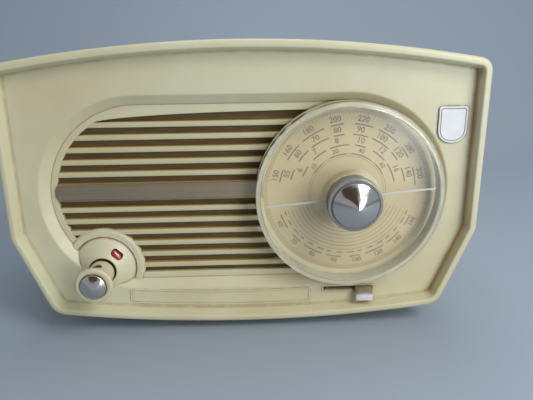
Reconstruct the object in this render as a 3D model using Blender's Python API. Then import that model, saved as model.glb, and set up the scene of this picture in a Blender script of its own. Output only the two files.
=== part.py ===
"""Cream moulded table radio with a louvre grille, a clear tuning disc and the works inside.

The radio stands on the XY plane. +X is its right hand side as seen from the front, +Y runs
from the front to the back, and +Z is up. Depths are measured from the plane of the front rim.
"""
import bpy
import bmesh
from math import asin, atan2, cos, hypot, pi, radians, sin, sqrt, tan
from mathutils import Matrix

MM = 0.001
GAP = 0.3 * MM
RUNNING_GAP = 0.3 * MM

# Cabinet
CASE_HALF_WIDTH = 142.5 * MM
CASE_DEPTH = 135.0 * MM
CORNER_Z = 166.0 * MM
CROWN_RISE = 12.7 * MM
SIDE_FOOT_Z = 64.0 * MM
CHAMFER_RUN = 20.5 * MM
BOTTOM_CORNER_Z = 13.2 * MM
BOTTOM_SAG = 8.2 * MM
CORNER_RADIUS = 8.0 * MM
CHAMFER_RADIUS = 12.0 * MM
REAR_SCALE_X = 0.94
REAR_SCALE_Z = 0.95
WALL = 3.0 * MM
RIM_ROUNDING = 2.5 * MM
RIM_WIDTH = 4.5 * MM
RECESS_DRAFT = 2.0 * MM
PANEL_DEPTH = 7.8 * MM
PANEL_BACK = PANEL_DEPTH + WALL
PAD_RADIUS = 10.0 * MM
FOOT_HEIGHT = 6.0 * MM
FOOT_RADIUS = 9.0 * MM
FOOT_X = 82.0 * MM
FOOT_EDGE = 1.0 * MM
FRONT_FOOT_DEPTH = 26.0 * MM
REAR_FOOT_MARGIN = 23.0 * MM

# Dish and louvre grille
DISH_SIDE_MARGIN = 79.5 * MM
DISH_Z = 87.0 * MM
DISH_RADIUS = 62.0 * MM
GRILLE_RADIUS = 55.6 * MM
GRILLE_DEPTH = 12.5 * MM
GRILLE_THICKNESS = 3.6 * MM
SLOT_FIELD_RADIUS = 52.2 * MM
SLOT_TOP_Z = 136.3 * MM
SLOT_PITCH = 7.5 * MM
SLOT_OPENING = 3.8 * MM
SLOT_COUNT = 14
SLOT_UNDER_STRIP = 6
STRIP_THICKNESS = 1.0 * MM
CLOTH_THICKNESS = 0.6 * MM
BOARD_THICKNESS = 3.0 * MM
BOARD_MARGIN = 58.0 * MM
BOARD_HALF_HEIGHT = 54.0 * MM
POST_SIZE = 8.0 * MM
BADGE_HALF_WIDTH = 8.6 * MM
BADGE_HALF_HEIGHT = 10.8 * MM
BADGE_CORNER = 2.1 * MM
BADGE_THICKNESS = 0.8 * MM
BADGE_MARGIN = 3.4 * MM
BADGE_DROP = 20.8 * MM

# Tuning disc and its drive
DISC_RADIUS = 56.7 * MM
DISC_FRONT = -5.0 * MM
DISC_REACH = 13.2 * MM
DISC_WALL = 2.6 * MM
DISC_ROUNDING = 6.0 * MM
SCALE_RADIUS = 52.0 * MM
SCALE_THICKNESS = 1.0 * MM
SHAFT_RADIUS = 3.0 * MM
COLLAR_RADIUS = 18.5 * MM
GRIP_RADIUS = 15.6 * MM
GRIP_LENGTH = 11.7 * MM
TUNING_CAP_RADIUS = 14.4 * MM
TUNING_CAP_LENGTH = 9.7 * MM
CAP_EDGE = 0.8 * MM
CAP_TIP_RADIUS = 1.8 * MM
CAP_TIP_ROUNDING = 0.5 * MM
POINTER_WIDTH = 1.0 * MM
POINTER_THICKNESS = 0.6 * MM
POINTER_TILT = radians(5.4)
GANG_FRONT = 36.0 * MM
GANG_LENGTH = 44.0 * MM
GANG_HALF_WIDTH = 25.5 * MM
GANG_HEADROOM = 25.0 * MM
VANE_RADIUS = 20.0 * MM
VANE_PITCH = 5.0 * MM
VANE_THICKNESS = 1.0 * MM
VANE_COUNT = 6
HUB_RADIUS = 5.0 * MM
STATOR_BAR = 3.5 * MM
STATOR_EDGE = 0.5 * MM

# Volume control
VOLUME_OUTSET = 27.0 * MM
VOLUME_Z = 40.5 * MM
BOSS_RADIUS = 23.8 * MM
BOSS_FRONT = 11.4 * MM
BOSS_BACK = 16.2 * MM
CONE_BASE_RADIUS = 19.5 * MM
CONE_TOP_RADIUS = 9.0 * MM
CONE_TOP = 4.6 * MM
CONE_FOOT = 12.2 * MM
CONE_WALL = 2.2 * MM
WINDOW_LENGTH = 7.0 * MM
WINDOW_WIDTH = 3.8 * MM
WINDOW_RADIUS = 13.2 * MM
WINDOW_ANGLE = radians(47.0)
KNOB_RADIUS = 11.3 * MM
KNOB_NECK_RADIUS = 7.6 * MM
KNOB_FRONT = -17.0 * MM
KNOB_BACK = 3.5 * MM
KNOB_EDGE = 1.4 * MM
KNOB_WALL = 4.0 * MM
VOLUME_CAP_RADIUS = 8.2 * MM
VOLUME_CAP_LENGTH = 4.7 * MM
SET_SCREW_RADIUS = 1.5 * MM
SET_SCREW_SINK = 1.0 * MM
SET_SCREW_SETBACK = 8.0 * MM
INDICATOR_CLEARANCE = 0.7 * MM
INDICATOR_THICKNESS = 1.2 * MM
POT_RADIUS = 10.0 * MM
POT_LENGTH = 11.0 * MM

# Band switch
LEVER_WIDTH = 10.5 * MM
LEVER_TRAVEL = 20.0 * MM
LEVER_OUTSET = 6.5 * MM
TAB_FRONT = 1.3 * MM
TAB_CLEARANCE = 1.2 * MM
TAB_DROP = 6.4 * MM
TAB_TAPER = 1.0 * MM
LEVER_Z = 23.1 * MM
TONGUE_THICKNESS = 2.0 * MM
SWITCH_LENGTH = 46.0 * MM
SWITCH_CLEARANCE = 1.0 * MM

# Speaker
SPEAKER_INSET = 18.0 * MM
SPEAKER_Z = 90.0 * MM
SPEAKER_RADIUS = 49.0 * MM
SPEAKER_HOLE = 44.0 * MM
BASKET_DEPTH = 30.0 * MM
BASKET_THROAT = 20.0 * MM
BASKET_SHEET = 1.4 * MM
CONE_PAPER = 0.8 * MM
CONE_NECK_MARGIN = 1.0 * MM
MAGNET_RADIUS = 18.0 * MM
MAGNET_LENGTH = 17.0 * MM
CONE_TRAVEL = 1.0 * MM

# Chassis and what stands on it
CHASSIS_Z = 28.0 * MM
CHASSIS_THICKNESS = 1.5 * MM
CHASSIS_SIDE_MARGIN = 36.5 * MM
CHASSIS_REAR_MARGIN = 9.0 * MM
CHASSIS_FRONT = 30.0 * MM
CHASSIS_SKIRT = 9.0 * MM
RAIL_INSET = 3.0 * MM
RAIL_WIDTH = 8.0 * MM
SKIRT_CLEARANCE = 1.0 * MM
SKIRT_INSET = 0.1 * MM
VALVE_SHARES = (-0.868, -0.491, -0.113, 0.245, 0.642)
VALVE_REAR_MARGIN = 14.0 * MM
VALVE_RADIUS = 10.5 * MM
VALVE_HEIGHT = 57.0 * MM
SOCKET_RADIUS = 12.0 * MM
SOCKET_HEIGHT = 5.0 * MM
CAN_SHARES = (-0.877, 0.075)
CAN_REAR_MARGIN = 42.0 * MM
CAN_SIZE = 22.0 * MM
CAN_HEIGHT = 52.0 * MM
TRANSFORMER_WIDTH = 44.0 * MM
TRANSFORMER_LENGTH = 27.0 * MM
TRANSFORMER_HEIGHT = 34.0 * MM
SMOOTHING_RADIUS = 10.5 * MM
DROPPER_RADIUS = 7.0 * MM

# Back cover
BACK_THICKNESS = 2.0 * MM
BACK_INSET = 2.0 * MM
BACK_CLEARANCE = 0.5 * MM
UPPER_SCREW_MARGIN = 24.5 * MM
UPPER_SCREW_DROP = 16.0 * MM
LOWER_SCREW_MARGIN = 30.5 * MM
LOWER_SCREW_RISE = 20.8 * MM
SCREW_RADIUS = 1.5 * MM
SCREW_HEAD_RADIUS = 3.4 * MM
SCREW_HEAD = 1.4 * MM
SCREW_CROWN_RADIUS = 2.4 * MM
VENT_WIDTH = 4.0 * MM
VENT_PITCH = 14.0 * MM
VENT_COUNT = 12
GROMMET_MARGIN = 70.5 * MM
GROMMET_RISE = 16.0 * MM
GROMMET_RADIUS = 8.0 * MM
GROMMET_EDGE = 1.2 * MM
GROMMET_SLEEVE = 5.2 * MM
GROMMET_BORE = 3.1 * MM
AERIAL_MARGIN = 80.5 * MM
AERIAL_RISE = 18.0 * MM
AERIAL_LENGTH = 36.0 * MM
AERIAL_HEIGHT = 14.0 * MM
AERIAL_SOCKET = 2.3 * MM

# Places that follow from the sizes above
DISH_HALF_LENGTH = CASE_HALF_WIDTH - DISH_SIDE_MARGIN
DIAL_X = DISH_HALF_LENGTH
DIAL_Z = DISH_Z
VOLUME_X = -DISH_HALF_LENGTH - VOLUME_OUTSET
LEVER_X = DIAL_X + LEVER_OUTSET
SPEAKER_X = SPEAKER_INSET - DISH_HALF_LENGTH
CASE_MID_Z = (CORNER_Z + BOTTOM_CORNER_Z) / 2
GRILLE_BACK = GRILLE_DEPTH + GRILLE_THICKNESS
CLOTH_FRONT = GRILLE_BACK + GAP
BOARD_FRONT = CLOTH_FRONT + CLOTH_THICKNESS + GAP
BOARD_BACK = BOARD_FRONT + BOARD_THICKNESS
BORE_RADIUS = SHAFT_RADIUS + RUNNING_GAP
GRIP_FRONT = DISC_FRONT - GAP - GRIP_LENGTH
TUNING_TIP = GRIP_FRONT - GAP - TUNING_CAP_LENGTH
FRONT_Y = -(CASE_DEPTH + TUNING_TIP) / 2
BACK_FACE = CASE_DEPTH - BACK_INSET
STANDING_Z = CHASSIS_Z + GAP
FOOT_DEPTHS = (FRONT_FOOT_DEPTH, CASE_DEPTH - REAR_FOOT_MARGIN)
CHASSIS_HALF_WIDTH = CASE_HALF_WIDTH - CHASSIS_SIDE_MARGIN
CHASSIS_REAR = BACK_FACE - BACK_THICKNESS - CHASSIS_REAR_MARGIN
CHASSIS_LENGTH = CHASSIS_REAR - CHASSIS_FRONT
RAIL_X = CHASSIS_HALF_WIDTH - RAIL_INSET
VALVE_DEPTH = CHASSIS_REAR - VALVE_REAR_MARGIN
VALVE_XS = [CHASSIS_HALF_WIDTH * share for share in VALVE_SHARES]
CAN_PLACES = [(CHASSIS_HALF_WIDTH * share, CHASSIS_REAR - CAN_REAR_MARGIN) for share in CAN_SHARES]
UPPER_SCREW_X = CASE_HALF_WIDTH - UPPER_SCREW_MARGIN
UPPER_SCREW_Z = CORNER_Z - UPPER_SCREW_DROP
LOWER_SCREW_X = CASE_HALF_WIDTH - LOWER_SCREW_MARGIN
LOWER_SCREW_Z = BOTTOM_CORNER_Z + LOWER_SCREW_RISE
BACK_SCREWS = ((-UPPER_SCREW_X, UPPER_SCREW_Z), (UPPER_SCREW_X, UPPER_SCREW_Z),
               (-LOWER_SCREW_X, LOWER_SCREW_Z), (LOWER_SCREW_X, LOWER_SCREW_Z))
GROMMET_PLACE = (CASE_HALF_WIDTH - GROMMET_MARGIN, CHASSIS_Z + GROMMET_RISE)
AERIAL_PLACE = (AERIAL_MARGIN - CASE_HALF_WIDTH, CHASSIS_Z + AERIAL_RISE)
ORIGIN = (0.0, FRONT_Y, 0.0)
DIAL_ORIGIN = (DIAL_X, FRONT_Y, DIAL_Z)
VOLUME_ORIGIN = (VOLUME_X, FRONT_Y, VOLUME_Z)
SPEAKER_ORIGIN = (SPEAKER_X, FRONT_Y, SPEAKER_Z)
LEVER_ORIGIN = (LEVER_X, FRONT_Y, LEVER_Z)


def material(name, colour, roughness, metallic=0.0):
    """A Principled finish in one colour."""
    finish = bpy.data.materials.new(name)
    finish.use_nodes = True
    shader = finish.node_tree.nodes["Principled BSDF"]
    shader.inputs["Base Color"].default_value = (*colour, 1.0)
    shader.inputs["Roughness"].default_value = roughness
    shader.inputs["Metallic"].default_value = metallic
    return finish


def add_object(name, bm, finish, origin=ORIGIN, parent=None):
    """Turn a bmesh into an object; a child's origin is the parent's place."""
    bmesh.ops.recalc_face_normals(bm, faces=bm.faces)
    mesh = bpy.data.meshes.new(name)
    bm.to_mesh(mesh)
    bm.free()
    mesh.shade_smooth()
    mesh.set_sharp_from_angle(angle=radians(35))
    obj = bpy.data.objects.new(name, mesh)
    bpy.context.scene.collection.objects.link(obj)
    if parent is None:
        obj.location = origin
    else:
        obj.parent = parent
    if finish is not None:
        mesh.materials.append(finish)
    return obj


def add_cutter(name, bm, origin=ORIGIN):
    """A guide solid that only shapes other pieces."""
    obj = add_object(name, bm, None, origin)
    obj.hide_render = True
    obj.display_type = 'WIRE'
    return obj


def combine(obj, other, operation='DIFFERENCE', solver='EXACT'):
    """Cut or join another solid by a Boolean modifier."""
    step = obj.modifiers.new(other.name, 'BOOLEAN')
    step.operation = operation
    step.object = other
    step.solver = solver


def axis_empty(name, place):
    """An empty on a joint's axis."""
    empty = bpy.data.objects.new(name, None)
    bpy.context.scene.collection.objects.link(empty)
    empty.location = place
    return empty


def turned(profile, segments=32, upright=False, place=(0.0, 0.0)):
    """Spin (radius, distance) points about Y, or about Z when upright.

    A profile that starts and ends on the axis is a full solid; any other profile is a ring.
    """
    bm = bmesh.new()
    points = []
    for radius, along in profile:
        point = (radius, 0.0, along) if upright else (radius, along, 0.0)
        points.append(bm.verts.new(point))
    edges = [bm.edges.new(pair) for pair in zip(points, points[1:])]
    if profile[0][0] > 0.0:
        edges.append(bm.edges.new((points[-1], points[0])))
    axis = (0.0, 0.0, 1.0) if upright else (0.0, 1.0, 0.0)
    bmesh.ops.spin(bm, geom=points + edges, cent=(0.0, 0.0, 0.0), axis=axis, angle=2 * pi,
                   steps=segments, use_merge=True)
    bmesh.ops.remove_doubles(bm, verts=bm.verts, dist=0.001 * MM)
    shift = (place[0], place[1], 0.0) if upright else (place[0], 0.0, place[1])
    bmesh.ops.translate(bm, verts=bm.verts, vec=shift)
    return bm


def prism(outline, start, end, bm=None):
    """Extrude an (x, z) outline between two depths."""
    return loft([at_depth(outline, start), at_depth(outline, end)], bm)


def side_prism(outline, left, right):
    """Extrude a (depth, z) outline between two places on X."""
    return loft([[(left, d, z) for d, z in outline], [(right, d, z) for d, z in outline]])


def loft(rings, bm=None):
    """Skin between closed rings of equal point counts, with flat ends."""
    bm = bm or bmesh.new()
    loops = [[bm.verts.new(point) for point in ring] for ring in rings]
    for near, far in zip(loops, loops[1:]):
        for i in range(len(near)):
            bm.faces.new((near[i - 1], near[i], far[i], far[i - 1]))
    bm.faces.new(loops[0])
    bm.faces.new(loops[-1])
    return bm


def block(low, high, bm=None):
    """A box between two corners given as (x, depth, z)."""
    bm = bm or bmesh.new()
    made = bmesh.ops.create_cube(bm, size=1.0)["verts"]
    size = [b - a for a, b in zip(low, high)]
    middle = [(a + b) / 2 for a, b in zip(low, high)]
    bmesh.ops.scale(bm, verts=made, vec=size)
    bmesh.ops.translate(bm, verts=made, vec=middle)
    return bm


def rod(radius, start, end, segments=16, place=(0.0, 0.0), upright=False):
    """A plain cylinder along Y, or along Z when upright."""
    profile = [(0.0, start), (radius, start), (radius, end), (0.0, end)]
    return turned(profile, segments, upright, place)


def screw(tip, seat, head, upright=False, place=(0.0, 0.0)):
    """A round headed screw from its tip to its seat, with the head beyond the seat."""
    profile = [(0.0, tip), (SCREW_RADIUS, tip), (SCREW_RADIUS, seat), (SCREW_HEAD_RADIUS, seat),
               (SCREW_CROWN_RADIUS, head), (0.0, head)]
    return turned(profile, 12, upright, place)


def at_depth(outline, depth):
    """Place (x, z) points at one depth."""
    return [(x, depth, z) for x, z in outline]


def arc(centre, radius, start, end, steps):
    """Points on a circular arc, both ends included."""
    angles = [start + (end - start) * i / steps for i in range(steps + 1)]
    return [(centre[0] + radius * cos(a), centre[1] + radius * sin(a)) for a in angles]


def circle(centre, radius, count=12):
    """Points of a full circle."""
    return arc(centre, radius, 0.0, 2 * pi, count)[:-1]


def stadium(radius, steps=16):
    """The dish's outline: two half circles joined by straight runs."""
    right = arc((DISH_HALF_LENGTH, DISH_Z), radius, -pi / 2, pi / 2, steps)
    left = arc((-DISH_HALF_LENGTH, DISH_Z), radius, pi / 2, 3 * pi / 2, steps)
    return right + left


def capsule(length, width, angle, place, steps=5):
    """A slot with round ends, turned by an angle about its own middle."""
    reach = (length - width) / 2
    right = arc((reach, 0.0), width / 2, -pi / 2, pi / 2, steps)
    left = arc((-reach, 0.0), width / 2, pi / 2, 3 * pi / 2, steps)
    turned_x = cos(angle)
    turned_z = sin(angle)
    return [(place[0] + a * turned_x - b * turned_z, place[1] + a * turned_z + b * turned_x)
            for a, b in right + left]


def bowed(half_width, z, bow, steps):
    """Points of a shallow arc between two corners, corners included, from left to right."""
    radius = (half_width ** 2 + bow ** 2) / (2 * abs(bow))
    reach = asin(half_width / radius)
    side = 1.0 if bow > 0 else -1.0
    points = []
    for i in range(steps + 1):
        a = reach * (2 * i / steps - 1)
        points.append((radius * sin(a), z + bow - side * radius * (1 - cos(a))))
    return points


def inset_corners(corners, inset):
    """Move every side of a clockwise outline inwards by the same distance."""
    count = len(corners)
    moved = []
    for i in range(count):
        before, here, after = corners[i - 1], corners[i], corners[(i + 1) % count]
        first = direction(before, here)
        second = direction(here, after)
        normal_a = (first[1], -first[0])
        normal_b = (second[1], -second[0])
        share = 1 + normal_a[0] * normal_b[0] + normal_a[1] * normal_b[1]
        moved.append((here[0] + inset * (normal_a[0] + normal_b[0]) / share,
                      here[1] + inset * (normal_a[1] + normal_b[1]) / share))
    return moved


def direction(start, end):
    """Unit direction from one (x, z) point to another."""
    length = hypot(end[0] - start[0], end[1] - start[1])
    return ((end[0] - start[0]) / length, (end[1] - start[1]) / length)


def rounded(before, corner, after, radius, steps):
    """Points of a round corner."""
    first = direction(corner, before)
    second = direction(corner, after)
    half = atan2(abs(first[0] * second[1] - first[1] * second[0]),
                 1 + first[0] * second[0] + first[1] * second[1])
    reach = radius / tan(half)
    start = (corner[0] + first[0] * reach, corner[1] + first[1] * reach)
    end = (corner[0] + second[0] * reach, corner[1] + second[1] * reach)
    points = []
    for i in range(steps + 1):
        t = i / steps
        blend = (1 - t) ** 2, 2 * t * (1 - t) * sin(half), t ** 2
        weight = sum(blend)
        points.append(tuple((blend[0] * a + blend[1] * c + blend[2] * b) / weight
                            for a, c, b in zip(start, corner, end)))
    return points


def case_outline(inset=0.0):
    """The cabinet's front outline, drawn clockwise from its top left corner."""
    top = bowed(CASE_HALF_WIDTH, CORNER_Z, CROWN_RISE, 10)
    foot = bowed(CASE_HALF_WIDTH - CHAMFER_RUN, BOTTOM_CORNER_Z, -BOTTOM_SAG, 8)
    corners = top + [(CASE_HALF_WIDTH, SIDE_FOOT_Z)] + foot[::-1] + [(-CASE_HALF_WIDTH, SIDE_FOOT_Z)]
    radii = {0: CORNER_RADIUS, len(top) - 1: CORNER_RADIUS}
    for i in (len(top), len(top) + 1, len(top) + len(foot), len(corners) - 1):
        radii[i] = CHAMFER_RADIUS
    corners = inset_corners(corners, inset)
    outline = []
    for i, corner in enumerate(corners):
        if i in radii:
            after = corners[(i + 1) % len(corners)]
            radius = max(radii[i] - inset, CORNER_RADIUS / 8)
            outline.extend(rounded(corners[i - 1], corner, after, radius, 4))
        else:
            outline.append(corner)
    return outline


def case_ring(depth, inset=0.0):
    """The cabinet's outline at a depth: it narrows towards the back."""
    share = depth / CASE_DEPTH
    wide = 1 - (1 - REAR_SCALE_X) * share
    tall = 1 - (1 - REAR_SCALE_Z) * share
    points = case_outline(inset)
    return [(x * wide, depth, CASE_MID_Z + (z - CASE_MID_Z) * tall) for x, z in points]


def cabinet_cavity():
    """The room inside the cabinet, less the moulded rails, posts and dish wall."""
    past_back = CASE_DEPTH + WALL
    cavity = add_cutter("cavity", loft([case_ring(PANEL_BACK, WALL), case_ring(past_back, WALL)]))
    slope = (DISH_RADIUS - GRILLE_RADIUS) / (GRILLE_DEPTH - PANEL_DEPTH)
    wall_front = PANEL_BACK - WALL / 2
    wall_back = GRILLE_BACK - GRILLE_THICKNESS / 3
    wide = DISH_RADIUS + WALL
    narrow = wide - slope * (wall_back - wall_front)
    dish_wall = loft([at_depth(stadium(wide), wall_front), at_depth(stadium(narrow), wall_back)])
    combine(cavity, add_cutter("dish_wall", dish_wall))
    rails = bmesh.new()
    for side in (-1, 1):
        x = side * RAIL_X
        block((x - RAIL_WIDTH / 2, CHASSIS_FRONT + WALL, -WALL),
              (x + RAIL_WIDTH / 2, CHASSIS_FRONT + CHASSIS_LENGTH - WALL,
               CHASSIS_Z - CHASSIS_THICKNESS - GAP), rails)
    combine(cavity, add_cutter("chassis_rails", rails))
    posts = bmesh.new()
    for x, z in board_posts():
        block((x - POST_SIZE / 2, PANEL_BACK - WALL / 2, z - POST_SIZE / 2),
              (x + POST_SIZE / 2, BOARD_FRONT - GAP, z + POST_SIZE / 2), posts)
    for x, z in BACK_SCREWS:
        reach = CASE_HALF_WIDTH if x > 0 else -CASE_HALF_WIDTH
        inner = x - POST_SIZE / 2 if x > 0 else x + POST_SIZE / 2
        block((min(inner, reach), BACK_FACE - BACK_THICKNESS - 2 * POST_SIZE, z - POST_SIZE / 2),
              (max(inner, reach), BACK_FACE - BACK_THICKNESS - GAP, z + POST_SIZE / 2), posts)
    combine(cavity, add_cutter("posts", posts))
    return cavity


def board_posts():
    """Places of the posts that the baffle board is screwed to."""
    x = DISH_HALF_LENGTH + BOARD_MARGIN - POST_SIZE
    z = BOARD_HALF_HEIGHT - POST_SIZE / 2
    return [(-x, DISH_Z + z), (x, DISH_Z + z), (x, DISH_Z - z)]


def cabinet():
    """The moulded case with its rim, recessed panel, dish and volume boss."""
    rings = [case_ring(RIM_ROUNDING * (1 - cos(a)), RIM_ROUNDING * (1 - sin(a)))
             for a in (pi / 2 * i / 3 for i in range(4))]
    rings.append(case_ring(CASE_DEPTH))
    case = add_object("cabinet", loft(rings), CREAM)
    ahead = -RIM_WIDTH
    recess_slope = RECESS_DRAFT / PANEL_DEPTH
    recess = loft([at_depth(case_outline(RIM_WIDTH + recess_slope * ahead), ahead),
                   at_depth(case_outline(RIM_WIDTH + RECESS_DRAFT), PANEL_DEPTH)])
    steps = [(add_cutter("recess", recess), 'DIFFERENCE'), (cabinet_cavity(), 'DIFFERENCE')]
    slope = (DISH_RADIUS - GRILLE_RADIUS - GAP) / (GRILLE_DEPTH - PANEL_DEPTH)
    lead = PANEL_DEPTH / 4
    dish = loft([at_depth(stadium(DISH_RADIUS + slope * lead), PANEL_DEPTH - lead),
                 at_depth(stadium(GRILLE_RADIUS + GAP), GRILLE_DEPTH),
                 at_depth(stadium(GRILLE_RADIUS + GAP), BOARD_FRONT)])
    steps.append((add_cutter("dish", dish), 'DIFFERENCE'))
    seat = rod((BOSS_RADIUS + CONE_BASE_RADIUS) / 2, -WALL, BOARD_FRONT, 32)
    steps.append((add_cutter("boss_seat", seat, VOLUME_ORIGIN), 'DIFFERENCE'))
    steps.append((volume_boss(), 'UNION'))
    pads = bmesh.new()
    for side in (-1, 1):
        for depth in FOOT_DEPTHS:
            ring = circle((side * FOOT_X, depth), PAD_RADIUS, 20)
            loft([[(x, d, FOOT_HEIGHT + GAP) for x, d in ring],
                  [(x, d, BOTTOM_CORNER_Z + WALL) for x, d in ring]], pads)
    steps.append((add_cutter("foot_pads", pads), 'UNION'))
    steps.append((add_cutter("case_holes", case_holes()), 'DIFFERENCE'))
    for other, operation in steps:
        combine(case, other, operation, 'MANIFOLD')


def case_holes():
    """The lever's slot, the volume window and the screw holes."""
    bm = bmesh.new()
    slot_left = LEVER_X - LEVER_TRAVEL - RUNNING_GAP
    slot_half = TONGUE_THICKNESS / 2 + RUNNING_GAP
    block((slot_left, 0.0, LEVER_Z - slot_half),
          (LEVER_X + LEVER_WIDTH + RUNNING_GAP, GRILLE_BACK, LEVER_Z + slot_half), bm)
    place = (VOLUME_X + WINDOW_RADIUS * cos(WINDOW_ANGLE),
             VOLUME_Z + WINDOW_RADIUS * sin(WINDOW_ANGLE))
    prism(capsule(WINDOW_LENGTH, WINDOW_WIDTH, WINDOW_ANGLE - pi / 2, place), 0.0, BOSS_BACK, bm)
    hole = SCREW_RADIUS + RUNNING_GAP
    for x, z in BACK_SCREWS:
        prism(circle((x, z), hole), BACK_FACE - 2 * POST_SIZE, CASE_DEPTH, bm)
    for x, z in board_screws():
        prism(circle((x, z), hole), PANEL_BACK, BOARD_BACK, bm)
    for x, depth in chassis_screws():
        ring = circle((x, depth), hole)
        low = CHASSIS_Z - CHASSIS_SKIRT
        loft([[(a, b, low) for a, b in ring], [(a, b, CHASSIS_Z) for a, b in ring]], bm)
    return bm


def board_screws():
    """The baffle board has a screw at two opposite posts."""
    posts = board_posts()
    return [posts[0], posts[2]]


def chassis_screws():
    """One screw into the front half of each rail."""
    return [(side * RAIL_X, CHASSIS_FRONT + CHASSIS_LENGTH / 4) for side in (-1, 1)]


def volume_boss():
    """The cone that the volume knob stands in, with a ring around it."""
    slope = (CONE_FOOT - CONE_TOP) / (CONE_BASE_RADIUS - CONE_TOP_RADIUS)
    mouth = KNOB_NECK_RADIUS + 2 * RUNNING_GAP
    inner_top = CONE_TOP + CONE_WALL + slope * (mouth - CONE_TOP_RADIUS)
    ring_inner = CONE_BASE_RADIUS + RUNNING_GAP
    skirt = CONE_BASE_RADIUS - WALL / 2
    profile = [(BOSS_RADIUS, BOSS_BACK),
               (BOSS_RADIUS, BOSS_FRONT + RUNNING_GAP),
               (BOSS_RADIUS - CONE_WALL, BOSS_FRONT),
               (ring_inner + RUNNING_GAP, BOSS_FRONT + RUNNING_GAP),
               (CONE_BASE_RADIUS, CONE_FOOT),
               (CONE_TOP_RADIUS, CONE_TOP),
               (mouth, CONE_TOP + RUNNING_GAP),
               (mouth, inner_top),
               (skirt, inner_top + slope * (skirt - mouth)),
               (ring_inner, BOSS_BACK)]
    return add_cutter("volume_boss", turned(profile, 32), VOLUME_ORIGIN)


def slot_left_end(z):
    """Where a louvre slot starts at a height: at the field's edge or beside the boss."""
    rise = z - DISH_Z
    left = -DISH_HALF_LENGTH - sqrt(max(SLOT_FIELD_RADIUS ** 2 - rise ** 2, 0.0))
    from_boss = abs(z - VOLUME_Z)
    keep = BOSS_RADIUS + RUNNING_GAP + WALL / 3
    if from_boss < keep:
        left = max(left, VOLUME_X + sqrt(keep ** 2 - from_boss ** 2))
    return left


def slot_tops():
    """Upper edges of the louvre slots; one place is left solid for the strip."""
    return [SLOT_TOP_Z - SLOT_PITCH * i for i in range(SLOT_COUNT) if i != SLOT_UNDER_STRIP]


def grille():
    """The louvre plate in the dish."""
    plate = add_object("grille", prism(stadium(GRILLE_RADIUS), GRILLE_DEPTH, GRILLE_BACK), CREAM)
    slots = bmesh.new()
    right = DIAL_X - COLLAR_RADIUS
    for top in slot_tops():
        low = top - SLOT_OPENING
        outline = [(slot_left_end(top), top), (right, top), (right, low), (slot_left_end(low), low)]
        prism(outline, GRILLE_DEPTH - WALL, GRILLE_BACK + WALL, slots)
    combine(plate, add_cutter("slots", slots))
    bore = rod(BORE_RADIUS, GRILLE_DEPTH - WALL, GRILLE_BACK + WALL)
    combine(plate, add_cutter("grille_bore", bore, DIAL_ORIGIN))
    room = rod(BOSS_RADIUS + GAP, 0.0, BOARD_FRONT, 32)
    combine(plate, add_cutter("grille_boss_room", room, VOLUME_ORIGIN))


def grille_strip():
    """The metal strip on the solid band of the grille, with a slanted left end."""
    high = SLOT_TOP_Z - SLOT_PITCH * (SLOT_UNDER_STRIP - 1) - SLOT_OPENING - GAP
    low = SLOT_TOP_Z - SLOT_PITCH * (SLOT_UNDER_STRIP + 1) + GAP
    left = -DISH_HALF_LENGTH - SLOT_FIELD_RADIUS + GAP
    right = DIAL_X - SCALE_RADIUS - GAP
    corner = (high - low) / 4
    outline = [(left, low + corner), (left, high - corner), (left + corner, high), (right, high),
               (right, low), (left + corner, low)]
    front = GRILLE_DEPTH - GAP - STRIP_THICKNESS
    add_object("grille_strip", prism(outline, front, front + STRIP_THICKNESS), GILT)


def badge_plate():
    """A bare plate on the panel, right of the dish."""
    x = CASE_HALF_WIDTH - RIM_WIDTH - RECESS_DRAFT - BADGE_MARGIN - BADGE_HALF_WIDTH
    z = DISH_Z + DISH_RADIUS - BADGE_DROP
    wide, high = BADGE_HALF_WIDTH, BADGE_HALF_HEIGHT
    narrow, low = wide - BADGE_CORNER, high - BADGE_CORNER
    outline = [(x + a, z + b) for a, b in ((-wide, low), (-narrow, high), (narrow, high), (wide, low),
                                           (wide, -low), (narrow, -high), (-narrow, -high), (-wide, -low))]
    back = PANEL_DEPTH - GAP
    add_object("badge_plate", prism(outline, back - BADGE_THICKNESS, back), GILT)


def cloth_and_board():
    """Speaker cloth behind the louvres and the baffle board that backs it."""
    cloth = prism(stadium(GRILLE_RADIUS), CLOTH_FRONT, CLOTH_FRONT + CLOTH_THICKNESS)
    cloth = add_object("speaker_cloth", cloth, CLOTH)
    half = DISH_HALF_LENGTH + BOARD_MARGIN - POST_SIZE / 2
    low = DISH_Z - BOARD_HALF_HEIGHT
    high = DISH_Z + BOARD_HALF_HEIGHT
    board = block((-half, BOARD_FRONT, low), (half, BOARD_BACK, high))
    board = add_object("baffle_board", board, BOARD)
    speaker_hole = rod(SPEAKER_HOLE, CLOTH_FRONT, BOARD_BACK + WALL, 24)
    combine(board, add_cutter("speaker_hole", speaker_hole, SPEAKER_ORIGIN))
    room = rod(BOSS_RADIUS + WALL, 0.0, BOARD_BACK + WALL, 20)
    room = add_cutter("volume_room", room, VOLUME_ORIGIN)
    bore = rod(BORE_RADIUS + GAP, GRILLE_BACK, BOARD_BACK + WALL)
    bore = add_cutter("board_bore", bore, DIAL_ORIGIN)
    for piece in (cloth, board):
        combine(piece, room)
        combine(piece, bore)
    holes = bmesh.new()
    for x, z in board_screws():
        prism(circle((x, z), SCREW_RADIUS + RUNNING_GAP), CLOTH_FRONT, BOARD_BACK + WALL, holes)
    combine(board, add_cutter("board_holes", holes))
    for i, place in enumerate(board_screws(), 1):
        seat = BOARD_BACK + GAP
        made = screw(PANEL_BACK + WALL, seat, seat + SCREW_HEAD, place=place)
        add_object(f"board_screw_{i}", made, STEEL)


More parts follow.
